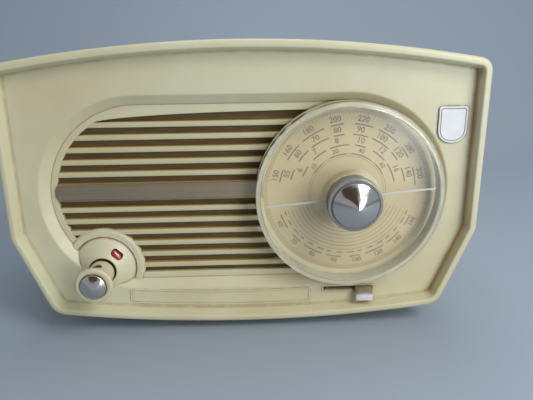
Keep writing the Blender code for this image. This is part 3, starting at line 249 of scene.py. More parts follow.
class Finish:
    """A material under way: its shader, and the patterns that feed it."""

    def __init__(self, name, metallic=0.0):
        self.material = bpy.data.materials.new(name)
        self.material.use_nodes = True
        self.tree = self.material.node_tree
        self.shader = self.tree.nodes["Principled BSDF"]
        self.shader.inputs["Metallic"].default_value = metallic
        coordinates = self.tree.nodes.new("ShaderNodeTexCoord")
        self.place = Link(self.tree, coordinates.outputs["Object"])

    def stretched(self, scale):
        """Coordinates that are scaled along each axis."""
        return self.place.node("ShaderNodeMapping", {}, {"Vector": self.place, "Scale": scale})

    def noise(self, scale, detail=3.0, vector=None, roughness=0.55):
        """Cloudy noise from nought to one."""
        inputs = {"Vector": vector or self.place, "Scale": scale, "Detail": detail, "Roughness": roughness}
        return self.place.node("ShaderNodeTexNoise", {}, inputs, "Fac")

    def spots(self, scale, low, high):
        """Specks: one inside each cell's middle, nought outside."""
        inputs = {"Vector": self.place, "Scale": scale}
        return self.between(self.place.node("ShaderNodeTexVoronoi", {}, inputs, "Distance"), high, low)

    def between(self, value, low, high):
        """Stretch a value so that low becomes nought and high becomes one."""
        return value.node("ShaderNodeMapRange", {}, {0: value, 1: low, 2: high})

    def mixed(self, amount, first, second):
        """A colour between two colours."""
        return amount.node("ShaderNodeMix", {"data_type": 'RGBA'}, {0: amount, 6: first, 7: second}, 2)

    def hollows(self, distance):
        """One in tight corners, nought in the open."""
        inputs = {"Distance": distance}
        return 1.0 - self.place.node("ShaderNodeAmbientOcclusion", {"samples": 8}, inputs, "AO")

    def facing(self, axis):
        """How far the surface faces along an axis, from -1 to 1."""
        normal = self.place.node("ShaderNodeNewGeometry", {}, {}, "Normal")
        return self.place.node("ShaderNodeSeparateXYZ", {}, {0: normal}, axis)

    def feed(self, socket, value):
        """Give the shader a value or a pattern."""
        if isinstance(value, Link):
            self.tree.links.new(value.socket, self.shader.inputs[socket])
        else:
            self.shader.inputs[socket].default_value = value

    def bump(self, height, distance, strength=1.0):
        """Raise the surface by a pattern."""
        inputs = {"Strength": strength, "Distance": distance, "Height": height}
        self.feed("Normal", height.node("ShaderNodeBump", {}, inputs, "Normal"))

    def parts(self):
        """Coordinates as three separate values."""
        return [self.place.node("ShaderNodeSeparateXYZ", {}, {0: self.place}, axis) for axis in "XYZ"]


def plain(tone, factor):
    """A colour made lighter or darker."""
    return (*[min(1.0, channel * factor) for channel in tone[:3]], 1.0)


def cream_plastic(name, colours, upward_shade=0.0):
    """Moulded cream resin: yellowed in patches, speckled and finely scratched; grime and painted shade in
    tight corners, painted warm shade in deep hollows and on inner walls that face away from the light.

    The last argument is how strongly painted warm shade tints the faces that look up; a thinner film of the
    same tint lies on every face.
    """
    finish = Finish(name)
    patches = finish.between(finish.noise(9.0, 4.0), 0.40, 0.66)
    tone = finish.mixed(patches * 0.75, tuple(colours.cream), tuple(colours.cream_aged))
    clouds = finish.between(finish.noise(70.0, 5.0), 0.35, 0.70)
    tone = finish.mixed(clouds * 0.10, tone, plain(colours.cream_aged, 0.75))
    # Painted warm shade: deep hollows turn ochre.
    hollow = finish.hollows(9.0 * MM)
    deep = finish.between(hollow, 0.28, 0.80)
    tone = finish.mixed(deep * 0.75, tone, tuple(colours.ochre))
    # Painted shade: walls of hollows that face away from the light turn brown.
    lee_shade = finish.between(finish.facing(0), -0.50, -0.80) * finish.between(hollow, 0.10, 0.25)
    tone = finish.mixed(lee_shade * 0.95, tone, tuple(colours.brown))
    # Painted warm shade on faces that look up, with a thinner film of it on every face.
    if upward_shade > 0.0:
        painted_shade = finish.between(finish.facing(2), 0.35, 0.80)
        film = 0.24
        tone = finish.mixed(painted_shade * (upward_shade - film) + film, tone, tuple(colours.ochre))
    # Tight corners turn dark: grime, with painted shade.
    corners = finish.between(finish.hollows(1.8 * MM), 0.07, 0.26)
    streaks = finish.between(finish.noise(160.0, 3.0), 0.30, 0.62)
    tone = finish.mixed(corners * (0.35 + streaks * 0.65) * 0.95, tone, tuple(colours.grime))
    specks = finish.spots(420.0, 0.05, 0.11) * finish.between(finish.noise(55.0, 2.0), 0.56, 0.66)
    tone = finish.mixed(specks * 0.5, tone, tuple(colours.grime))
    finish.feed("Base Color", tone)
    scratches = finish.between(finish.noise(1.0, 2.0, finish.stretched((30.0, 400.0, 900.0))), 0.60, 0.72)
    finish.feed("Roughness", 0.30 + clouds * 0.10 + scratches * 0.10 + corners * 0.25)
    finish.bump(finish.noise(900.0, 2.0) * 0.4 + finish.noise(45.0, 2.0), 0.05 * MM, 0.5)
    return finish.material


def brushed_metal(name, tone, rough, grain=(12.0, 900.0, 900.0), tarnish=0.35):
    """Metal with a fine grain along one axis and dull patches."""
    finish = Finish(name, 1.0)
    lines = finish.noise(1.0, 3.0, finish.stretched(grain), 0.7)
    dull = finish.between(finish.noise(38.0, 5.0), 0.42, 0.75)
    shade = finish.mixed(lines, plain(tone, 0.80), plain(tone, 1.15))
    finish.feed("Base Color", finish.mixed(dull * tarnish, shade, plain(tone, 0.55)))
    finish.feed("Roughness", rough + lines * 0.15 + dull * 0.15)
    finish.bump(lines, 0.02 * MM, 0.5)
    return finish.material


def bright_plating(name):
    """Polished plating with faint smears and pin spots."""
    finish = Finish(name, 1.0)
    smears = finish.between(finish.noise(130.0, 5.0), 0.45, 0.80)
    pits = finish.spots(900.0, 0.04, 0.09) * finish.between(finish.noise(160.0, 2.0), 0.55, 0.62)
    shade = finish.mixed(smears * 0.25, (0.64, 0.61, 0.58, 1.0), (0.48, 0.43, 0.39, 1.0))
    finish.feed("Base Color", finish.mixed(pits * 0.7, shade, (0.16, 0.12, 0.08, 1.0)))
    finish.feed("Roughness", 0.11 + smears * 0.10 + pits * 0.3)
    return finish.material


def clear_plastic(name, tint):
    """Clear cast plastic with hair scratches; light passes through it to what lies behind."""
    finish = Finish(name)
    finish.feed("Base Color", tint)
    finish.feed("Transmission Weight", 1.0)
    finish.feed("IOR", 1.16)
    finish.feed("Coat Weight", 1.0)
    finish.feed("Coat Roughness", 0.24)
    hairs = finish.between(finish.noise(1.0, 2.0, finish.stretched((500.0, 90.0, 40.0))), 0.58, 0.75)
    film = finish.between(finish.noise(50.0, 4.0), 0.40, 0.80)
    finish.feed("Roughness", 0.02 + hairs * 0.05 + film * 0.04)
    tree = finish.tree
    shadow = finish.place.node("ShaderNodeLightPath", {}, {}, "Is Shadow Ray")
    through = shadow.node("ShaderNodeBsdfTransparent", {}, {"Color": plain(tint, 0.95)})
    seen = Link(tree, finish.shader.outputs[0])
    both = shadow.node("ShaderNodeMixShader", {}, {0: shadow, 1: seen, 2: through})
    tree.links.new(both.socket, tree.nodes["Material Output"].inputs["Surface"])
    return finish.material


def cloudy_plastic(name, tone):
    """The thick edge of clear plastic, seen as a cloudy and glossy band."""
    finish = Finish(name)
    drift = finish.between(finish.noise(24.0, 3.0), 0.35, 0.70)
    hairs = finish.between(finish.noise(1.0, 2.0, finish.stretched((90.0, 500.0, 90.0))), 0.50, 0.75)
    shade = finish.mixed(drift * 0.5, tuple(tone), plain(tone, 0.72))
    finish.feed("Base Color", finish.mixed(hairs * 0.25, shade, plain(tone, 1.35)))
    finish.feed("Roughness", 0.10 + hairs * 0.12)
    finish.feed("Coat Weight", 1.0)
    finish.feed("Coat Roughness", 0.04)
    return finish.material


def dial_card(name, colours):
    """Aged printed card: mottled, a little darker towards stains."""
    finish = Finish(name)
    mottle = finish.between(finish.noise(60.0, 6.0), 0.35, 0.70)
    stain = finish.between(finish.noise(14.0, 3.0), 0.45, 0.70)
    tone = finish.mixed(mottle * 0.35, tuple(colours.scale), plain(colours.scale, 0.80))
    finish.feed("Base Color", finish.mixed(stain * 0.35, tone, plain(colours.scale, 0.72)))
    finish.feed("Roughness", 0.45 + mottle * 0.2)
    finish.bump(finish.noise(1500.0, 2.0), 0.02 * MM, 0.4)
    return finish.material


def printed_ink(name, tone):
    """Ink that is worn thin in places."""
    finish = Finish(name)
    thin = finish.between(finish.noise(220.0, 4.0), 0.45, 0.75)
    finish.feed("Base Color", finish.mixed(thin * 0.6, tuple(tone), plain(tone, 1.45)))
    finish.feed("Roughness", 0.5 + thin * 0.2)
    return finish.material


def smooth_plastic(name, tone, rough, gloss=0.0):
    """Plain moulding with smears and fine texture."""
    finish = Finish(name)
    smears = finish.between(finish.noise(80.0, 5.0), 0.35, 0.75)
    finish.feed("Base Color", finish.mixed(smears * 0.4, tuple(tone), plain(tone, 0.78)))
    finish.feed("Roughness", rough + smears * 0.15)
    finish.feed("Coat Weight", gloss)
    finish.bump(finish.noise(1100.0, 2.0), 0.02 * MM, 0.4)
    return finish.material


def rubbed_plastic(name, painted_shade, pale, head, foot):
    """Moulding with painted shade at its head and a painted highlight towards its foot, with fine smears."""
    finish = Finish(name)
    smears = finish.between(finish.noise(420.0, 4.0), 0.30, 0.70)
    # Painted light: the head is shaded, the foot carries a painted highlight.
    rubbed = finish.between(finish.parts()[2] + smears * (0.6 * MM), head, foot)
    tone = finish.mixed(rubbed, tuple(painted_shade), tuple(pale))
    finish.feed("Base Color", finish.mixed(smears * 0.2, tone, plain(painted_shade, 0.8)))
    finish.feed("Roughness", 0.42 - rubbed * 0.12 + smears * 0.1)
    finish.bump(finish.noise(1100.0, 2.0), 0.02 * MM, 0.4)
    return finish.material


def woven_cloth(name, dark, bright):
    """Plain weave of dark and bright threads."""
    finish = Finish(name)
    across, _, up = finish.parts()
    thread = 1.1 * MM
    pitch = 2 * pi / thread
    warp = across.node("ShaderNodeMath", {"operation": 'SINE'}, {0: across * pitch})
    weft = up.node("ShaderNodeMath", {"operation": 'SINE'}, {0: up * pitch})
    weave = warp * weft * 0.5 + 0.5
    slub = finish.between(finish.noise(1.0, 3.0, finish.stretched((60.0, 60.0, 900.0))), 0.4, 0.7)
    finish.feed("Base Color", finish.mixed(weave * 0.6 + slub * 0.3, tuple(dark), tuple(bright)))
    finish.feed("Roughness", 0.85 + slub * 0.1)
    finish.bump(weave, 0.25 * MM, 0.8)
    return finish.material


def pressed_board(name, tone):
    """Fibreboard: short fibres, flecks and a rubbed face."""
    finish = Finish(name)
    fibres = finish.noise(1.0, 5.0, finish.stretched((160.0, 700.0, 420.0)), 0.7)
    flecks = finish.spots(260.0, 0.06, 0.16)
    rubbed = finish.between(finish.noise(16.0, 4.0), 0.45, 0.70)
    shade = finish.mixed(finish.between(fibres, 0.35, 0.65), plain(tone, 0.70), plain(tone, 1.35))
    shade = finish.mixed(flecks * 0.45, shade, plain(tone, 2.1))
    finish.feed("Base Color", finish.mixed(rubbed * 0.4, shade, plain(tone, 1.6)))
    finish.feed("Roughness", 0.75 + fibres * 0.2)
    finish.bump(fibres, 0.15 * MM, 0.7)
    return finish.material


def plated_steel(name, tone=(0.56, 0.55, 0.52, 1.0), rust=0.4):
    """Zinc plated steel with a spangle and brown freckles."""
    finish = Finish(name, 1.0)
    inputs = {"Vector": finish.place, "Scale": 240.0}
    spangle = finish.place.node("ShaderNodeTexVoronoi", {}, inputs, "Color")
    grey = spangle.node("ShaderNodeRGBToBW", {}, {0: spangle})
    shade = finish.mixed(grey, plain(tone, 0.85), plain(tone, 1.12))
    freckles = finish.between(finish.noise(180.0, 5.0), 0.60, 0.72)
    finish.feed("Base Color", finish.mixed(freckles * rust, shade, (0.17, 0.085, 0.04, 1.0)))
    finish.feed("Roughness", 0.30 + grey * 0.15 + freckles * 0.35)
    finish.feed("Metallic", 1.0 - freckles * (0.7 * rust))
    return finish.material


def valve_glass(name):
    """Glass with a silvered top and a dark, dim inside."""
    finish = Finish(name)
    up = finish.parts()[2]
    silver = finish.between(up + finish.noise(120.0, 3.0) * 0.004, 0.084, 0.088)
    bands = finish.between(finish.noise(1.0, 2.0, finish.stretched((20.0, 20.0, 260.0))), 0.42, 0.62)
    inside = finish.mixed(bands, (0.035, 0.034, 0.033, 1.0), (0.19, 0.185, 0.175, 1.0))
    finish.feed("Base Color", finish.mixed(silver, inside, (0.62, 0.61, 0.60, 1.0)))
    finish.feed("Metallic", silver * 0.9)
    finish.feed("Roughness", 0.06 + finish.noise(90.0, 4.0) * 0.12)
    finish.feed("Coat Weight", 1.0)
    return finish.material


def wound_iron(name):
    """Lacquered iron sheets on edge."""
    finish = Finish(name)
    sheets = finish.noise(1.0, 2.0, finish.stretched((2200.0, 40.0, 40.0)))
    dust = finish.between(finish.noise(70.0, 4.0), 0.45, 0.70)
    edges = finish.between(sheets, 0.4, 0.6)
    shade = finish.mixed(edges, (0.045, 0.042, 0.04, 1.0), (0.11, 0.10, 0.09, 1.0))
    finish.feed("Base Color", finish.mixed(dust * 0.35, shade, (0.24, 0.21, 0.17, 1.0)))
    finish.feed("Roughness", 0.45 + dust * 0.3)
    finish.bump(sheets, 0.2 * MM, 0.6)
    return finish.material


def worn_rubber(name):
    """Black rubber, greyed by dust."""
    finish = Finish(name)
    dust = finish.between(finish.noise(110.0, 5.0), 0.42, 0.72)
    finish.feed("Base Color", finish.mixed(dust * 0.5, (0.022, 0.02, 0.02, 1.0), (0.11, 0.10, 0.09, 1.0)))
    finish.feed("Roughness", 0.65 + dust * 0.25)
    finish.bump(finish.noise(700.0, 3.0), 0.08 * MM, 0.6)
    return finish.material


def rounded_path(corners, steps, closed=False):
    """Points of a path through (a, b, radius) corners, each corner rounded by its radius."""
    points = []
    count = len(corners)
    for i, (a, b, radius) in enumerate(corners):
        if radius <= 0.0 or not (closed or 0 < i < count - 1):
            points.append((a, b))
            continue
        here = Vector((a, b))
        before = (Vector(corners[i - 1][:2]) - here).normalized()
        after = (Vector(corners[(i + 1) % count][:2]) - here).normalized()
        half = before.angle(after) / 2
        centre = here + (before + after).normalized() * radius / sin(half)
        start = here + before * radius / tan(half) - centre
        end = here + after * radius / tan(half) - centre
        turn = atan2(start.x * end.y - start.y * end.x, start.dot(end))
        for k in range(steps + 1):
            angle = turn * k / steps
            points.append((centre.x + start.x * cos(angle) - start.y * sin(angle),
                           centre.y + start.x * sin(angle) + start.y * cos(angle)))
    return [here for before, here in zip([None] + points, points)
            if before is None or hypot(here[0] - before[0], here[1] - before[1]) > NEAR_NOTHING]


def arc(centre, radius, start, end, steps):
    """Points of a circular arc, both ends included."""
    angles = [start + (end - start) * i / steps for i in range(steps + 1)]
    return [(centre[0] + radius * cos(a), centre[1] + radius * sin(a)) for a in angles]


def bowed(half_width, z, rise, steps):
    """Points of a shallow arc between two corners, from left to right."""
    radius = (half_width ** 2 + rise ** 2) / (2 * rise)
    middle = z + rise - radius
    spots = [half_width * (2 * i / steps - 1) for i in range(steps + 1)]
    side = 1.0 if rise > 0 else -1.0
    return [(x, middle + side * sqrt(radius ** 2 - x ** 2)) for x in spots]


def stadium(half_length, z, radius, steps=40):
    """Outline of a slot with round ends."""
    right = arc((half_length, z), radius, -pi / 2, pi / 2, steps)
    left = arc((-half_length, z), radius, pi / 2, 3 * pi / 2, steps)
    return right + left


def capsule(centre, long, wide, angle, steps):
    """Outline of a small slot with round ends, turned about its middle."""
    outline = stadium((long - wide) / 2, 0.0, wide / 2, steps)
    return [(centre[0] + a * cos(angle) - b * sin(angle), centre[1] + a * sin(angle) + b * cos(angle))
            for a, b in outline]


def case_outline(sizes):
    """The front outline of the case, clockwise from its top left corner."""
    top = bowed(sizes.half_width, sizes.corner_z, sizes.crown, 28)
    foot = bowed(sizes.half_width - sizes.chamfer_run, sizes.bottom_z, -sizes.sag, 24)[::-1]
    corners = [(x, z, 0.0) for x, z in top]
    corners[0] = (*top[0], sizes.corner_radius)
    corners[-1] = (*top[-1], sizes.corner_radius)
    corners.append((sizes.half_width, sizes.side_foot_z, sizes.turn_radius))
    lower = [(x, z, 0.0) for x, z in foot]
    lower[0] = (*foot[0], sizes.turn_radius)
    lower[-1] = (*foot[-1], sizes.turn_radius)
    corners += lower
    corners.append((-sizes.half_width, sizes.side_foot_z, sizes.turn_radius))
    return rounded_path(drop_near(corners), 8, True)


def drop_near(corners):
    """Leave out plain points that a neighbour's rounding would reach past."""
    kept = []
    count = len(corners)
    for i, corner in enumerate(corners):
        around = (corners[i - 1], corners[(i + 1) % count])
        near = any(hypot(other[0] - corner[0], other[1] - corner[1]) < 1.2 * other[2]
                   for other in around if other[2] > 0.0)
        if corner[2] > 0.0 or not near:
            kept.append(corner)
    return kept


def lever_slot(margin, half_height, radius, steps):
    """Outline of the lever's slot, from the lever's reach at both ends of its travel."""
    left = LEVER_LOW.x - LEVER_TRAVEL - margin
    right = LEVER_HIGH.x + margin
    middle = LEVER_HIGH.z - 1.0 * MM
    corners = [(left, middle - half_height, radius), (left, middle + half_height, radius),
               (right, middle + half_height, radius), (right, middle - half_height, radius)]
    return rounded_path(corners, steps, True)


def depths(node):
    """Front and rear depth of a solid piece."""
    low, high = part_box(node)
    return low.y - FRONT_Y, high.y - FRONT_Y


def points_of(made):
    """The points among the geometry that an operator made."""
    return [item for item in made if isinstance(item, bmesh.types.BMVert)]


def faces_of(made):
    """The faces among the geometry that an operator made."""
    return [item for item in made if isinstance(item, bmesh.types.BMFace)]


def face_at(bm, outline, depth):
    """A flat face at a depth, looking to the front."""
    face = bm.faces.new([bm.verts.new((x, FRONT_Y + depth, z)) for x, z in outline])
    face.normal_update()
    if face.normal.y > 0.0:
        face.normal_flip()
    return face


def step_in(bm, face, path):
    """Inset a flat face along a path of (inset, depth) points."""
    for (near, depth), (far, next_depth) in zip(path, path[1:]):
        bmesh.ops.inset_region(bm, faces=[face], thickness=far - near, depth=depth - next_depth,
                               use_even_offset=True, use_boundary=True)


def open_face(bm, face):
    """Remove a face and leave its edges."""
    bmesh.ops.delete(bm, geom=[face], context='FACES_ONLY')


def drawn_back(bm, edges, reach):
    """Extrude edges straight back; the new points are returned."""
    points = points_of(bmesh.ops.extrude_edge_only(bm, edges=edges)["geom"])
    bmesh.ops.translate(bm, verts=points, vec=(0.0, reach, 0.0))
    return points


def rim_edges(bm, depth):
    """Edges at a depth that have only one face."""
    y = FRONT_Y + depth
    return [edge for edge in bm.edges if len(edge.link_faces) == 1
            and all(abs(point.co.y - y) < NEAR_NOTHING for point in edge.verts)]


def spun(path, segments, centre, closed=False):
    """Turn a path of (radius, depth) points about a line from front to back."""
    bm = bmesh.new()
    x, z = centre
    points = [bm.verts.new((x + radius, FRONT_Y + depth, z)) for radius, depth in path]
    edges = [bm.edges.new(pair) for pair in zip(points, points[1:])]
    if closed:
        edges.append(bm.edges.new((points[-1], points[0])))
    bmesh.ops.spin(bm, geom=points + edges, cent=(x, 0.0, z), axis=(0.0, 1.0, 0.0), angle=2 * pi,
                   steps=segments, use_merge=True)
    bmesh.ops.remove_doubles(bm, verts=bm.verts, dist=NEAR_NOTHING / 2)
    return bm


def drawn(bm, outline, start, end):
    """A solid drawn from an (x, z) outline between two depths."""
    face = face_at(bm, outline, start)
    made = bmesh.ops.extrude_face_region(bm, geom=[face], use_keep_orig=True)["geom"]
    bmesh.ops.translate(bm, verts=points_of(made), vec=(0.0, end - start, 0.0))


def bar(bm, section, left, right):
    """A bar of one (y, z) section from left to right; its end faces are returned."""
    face = bm.faces.new([bm.verts.new((left, y, z)) for y, z in section])
    made = bmesh.ops.extrude_face_region(bm, geom=[face], use_keep_orig=True)["geom"]
    bmesh.ops.translate(bm, verts=points_of(made), vec=(right - left, 0.0, 0.0))
    return [face] + [item for item in faces_of(made) if len(item.verts) > 4]


def groove(size, place, turn=0.0):
    """A block that cuts a screw's slot."""
    bm = bmesh.new()
    bmesh.ops.create_cube(bm, size=1.0)
    bmesh.ops.scale(bm, verts=bm.verts, vec=size)
    bmesh.ops.rotate(bm, verts=bm.verts, matrix=Matrix.Rotation(turn, 3, 'Y'))
    bmesh.ops.translate(bm, verts=bm.verts, vec=place)
    return bm


def broken_edges(bm, faces, offset, segments):
    """Round the edges around some faces."""
    edges = list({edge for face in faces for edge in face.edges})
    bmesh.ops.bevel(bm, geom=edges, offset=offset, segments=segments, profile=0.5, affect='EDGES',
                    material=-1, clamp_overlap=True)


def thicken(bm, thickness):
    """Give a skin its wall, inwards."""
    bmesh.ops.recalc_face_normals(bm, faces=bm.faces)
    bmesh.ops.solidify(bm, geom=bm.faces[:], thickness=thickness)


def piece(name, bm, finish, body="case", stands_for=(), recalculate=True, sharp=SMOOTH_BELOW):
    """Turn a bmesh into a finished piece that rides on a body."""
    if recalculate:
        bmesh.ops.recalc_face_normals(bm, faces=bm.faces)
    mesh = bpy.data.meshes.new(name)
    bm.to_mesh(mesh)
    bm.free()
    mesh.shade_smooth()
    mesh.set_sharp_from_angle(angle=radians(sharp))
    mesh.materials.append(finish)
    obj = bpy.data.objects.new(name, mesh)
    bpy.context.scene.collection.objects.link(obj)
    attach(obj, body)
    if stands_for:
        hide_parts(*stands_for)
    return obj


def cut(obj, cutter):
    """Cut a closed shape out of a piece, and keep the result as the piece's mesh."""
    bmesh.ops.recalc_face_normals(cutter, faces=cutter.faces)
    mesh = bpy.data.meshes.new("cutter")
    cutter.to_mesh(mesh)
    cutter.free()
    tool = bpy.data.objects.new("cutter", mesh)
    bpy.context.scene.collection.objects.link(tool)
    step = obj.modifiers.new("cut", 'BOOLEAN')
    step.object = tool
    step.solver = 'EXACT'
    graph = bpy.context.evaluated_depsgraph_get()
    made = bpy.data.meshes.new_from_object(obj.evaluated_get(graph))
    if not made.polygons:
        raise RuntimeError(f"nothing is left of {obj.name} after its cut")
    before = obj.data
    obj.modifiers.clear()
    obj.data = made
    name = before.name
    bpy.data.meshes.remove(before)
    made.name = name
    made.shade_smooth()
    made.set_sharp_from_angle(angle=radians(SMOOTH_BELOW))
    bpy.data.objects.remove(tool)
    bpy.data.meshes.remove(mesh)


def dress(finish, *nodes):
    """Give solid pieces that stay in view their finish."""
    for name in nodes:
        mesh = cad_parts[name].data
        mesh.materials.clear()
        mesh.materials.append(finish)


def finishes(context):
    """The colours in use."""
    return context.scene.radio.finish


def known(name, make, *values):
    """A material that several pieces share."""
    return bpy.data.materials.get(name) or make(name, *values)


def cream_resin(context):
    """The cream of the case and of the pieces moulded with it."""
    return known("cream resin", cream_plastic, finishes(context))


def dark_moulding(context):
    """The dark plastic of the sockets, also used for the badge's line."""
    return known("dark moulding", smooth_plastic, finishes(context).dark, 0.4)


class RADIO_OT_case(bpy.types.Operator):
    """Build the moulded case with its rim, recessed panel, dish and foot pads"""
    bl_idname = "radio.case"
    bl_label = "Case"

    def execute(self, context):
        sizes = context.scene.radio.case
        grille = context.scene.radio.grille
        bm = bmesh.new()
        front = face_at(bm, case_outline(sizes), sizes.rim_rounding)
        rear = drawn_back(bm, list(front.edges), sizes.depth - sizes.rim_rounding)
        middle = (0.0, 0.0, (sizes.corner_z + sizes.bottom_z) / 2)
        bmesh.ops.scale(bm, verts=rear, vec=(sizes.rear_wide, 1.0, sizes.rear_tall),
                        space=Matrix.Translation(middle).inverted())
        foot = sizes.rim + sizes.draft
        step_in(bm, front, rounded_path([(0.0, sizes.rim_rounding, 0.0), (0.0, 0.0, sizes.rim_rounding),
                                         (sizes.rim, 0.0, sizes.rim_inside),
                                         (foot, sizes.panel, sizes.corner_fillet),
                                         (foot + sizes.corner_fillet, sizes.panel, 0.0)], 6))
        open_face(bm, front)
        dish = face_at(bm, stadium(grille.half_length, DIAL[1], grille.dish_radius + grille.dish_edge),
                       sizes.panel)
        slope = grille.dish_radius + grille.dish_edge - grille.plate_radius
        steepness = (slope - grille.dish_edge) / (grille.plate_depth - sizes.panel)
        behind = 1.5 * MM
        dish_rounding = 2.2 * MM
        step_in(bm, dish, rounded_path([(0.0, sizes.panel, 0.0),
                                        (grille.dish_edge, sizes.panel, dish_rounding),
                                        (slope + behind * steepness, grille.plate_depth + behind, 0.0)], 6))
        open_face(bm, dish)
        slot = face_at(bm, lever_slot(0.3 * MM, 1.15 * MM, 0.4 * MM, 3), sizes.panel)
        step_in(bm, slot, [(0.0, sizes.panel), (0.02 * MM, sizes.panel + 0.4 * MM),
                           (0.04 * MM, sizes.panel + 3.0 * MM)])
        open_face(bm, slot)
        bmesh.ops.triangle_fill(bm, use_beauty=True, edges=rim_edges(bm, sizes.panel))
        thicken(bm, sizes.wall)
        finish = cream_resin(context)
        piece("case_shell", bm, finish, stands_for=("cabinet",), recalculate=False)
        pads = bmesh.new()
        pad_top = 16.0 * MM
        for name in FEET:
            low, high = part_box(name)
            under = high.z + 0.3 * MM
            upright(pads, [(0.0, under), (sizes.pad_radius - 0.6 * MM, under),
                           (sizes.pad_radius, high.z + 0.9 * MM), (sizes.pad_radius, pad_top),
                           (0.0, pad_top)], 40, (low + high) / 2)
        piece("case_foot_pads", pads, finish)
        return {'FINISHED'}


def upright(bm, path, segments, centre):
    """Turn a path of (radius, height) points about an upright line."""
    points = [bm.verts.new((centre[0] + radius, centre[1], z)) for radius, z in path]
    edges = [bm.edges.new(pair) for pair in zip(points, points[1:])]
    bmesh.ops.spin(bm, geom=points + edges, cent=centre, axis=(0.0, 0.0, 1.0), angle=2 * pi,
                   steps=segments, use_merge=True)
    bmesh.ops.remove_doubles(bm, verts=bm.verts, dist=NEAR_NOTHING / 2)


class RADIO_OT_boss(bpy.types.Operator):
    """Build the cone and ring around the volume knob, with the red window"""
    bl_idname = "radio.boss"
    bl_label = "Volume Cone"

    def execute(self, context):
        sizes = context.scene.radio.volume
        ring = sizes.ring_depth
        foot = ring + 0.8 * MM
        mouth = sizes.neck_radius + 0.7 * MM
        slope = (foot - sizes.cone_top) / (sizes.cone_radius - sizes.cone_top_radius)
        wall = 1.6 * MM
        back = 17.0 * MM
        skirt = sizes.cone_radius - 1.2 * MM
        under = sizes.cone_top + slope * (skirt - sizes.cone_top_radius) + wall
        path = rounded_path([(sizes.ring_radius + 1.0 * MM, back, 0.0),
                             (sizes.ring_radius + 1.0 * MM, ring + 1.2 * MM, 0.3 * MM),
                             (sizes.ring_radius, ring, 1.2 * MM),
                             (sizes.cone_radius + 0.6 * MM, ring, 0.3 * MM),
                             (sizes.cone_radius + 0.25 * MM, foot, 0.1 * MM),
                             (sizes.cone_radius, foot, 0.1 * MM),
                             (sizes.cone_top_radius, sizes.cone_top, 0.9 * MM),
                             (mouth, sizes.cone_top + 0.6 * MM, 0.4 * MM),
                             (mouth, sizes.cone_top + wall, 0.0),
                             (skirt, under, 0.0),
                             (skirt, back, 0.0)], 6)
        finish = cream_resin(context)
        boss = piece("volume_boss", spun(path, 128, VOLUME, True), finish)
        angle = radians(47.0)
        place = (VOLUME[0] + sizes.window_radius * cos(angle), VOLUME[1] + sizes.window_radius * sin(angle))
        long, wide, gap = sizes.window_length, sizes.window_width, 0.1 * MM
        hole = bmesh.new()
        drawn(hole, capsule(place, long, wide, angle - pi / 2, 12), 0.0, under + 2.0 * MM)
        cut(boss, hole)
        lens = bmesh.new()
        outline = capsule(place, long - gap, wide - gap, angle - pi / 2, 12)
        seat = sizes.cone_top + slope * (sizes.window_radius - sizes.cone_top_radius)
        edge = seat + 1.0 * MM
        face = face_at(lens, outline, edge)
        drawn_back(lens, list(face.edges), 0.8 * MM)
        step_in(lens, face, rounded_path([(0.0, edge, 0.0), (0.35 * MM, seat + 0.1 * MM, 0.4 * MM),
                                          (1.4 * MM, seat - 0.3 * MM, 0.0)], 4))
        tilt = Matrix.Rotation(atan2(foot - sizes.cone_top, sizes.cone_radius - sizes.cone_top_radius),
                               4, Vector((-sin(angle), 0.0, cos(angle))))
        centre = Vector((place[0], FRONT_Y + seat, place[1]))
        bmesh.ops.transform(lens, verts=lens.verts, space=Matrix.Translation(-centre), matrix=tilt)
        bmesh.ops.holes_fill(lens, edges=lens.edges)
        red = known("red lens", smooth_plastic, finishes(context).red, 0.10, 1.0)
        piece("volume_window", lens, red)
        # A darker red: painted shade on the indicator behind the window.
        dim = known("red paint", smooth_plastic, plain(finishes(context).red, 0.4), 0.55)
        dress(dim, "volume_indicator")
        return {'FINISHED'}


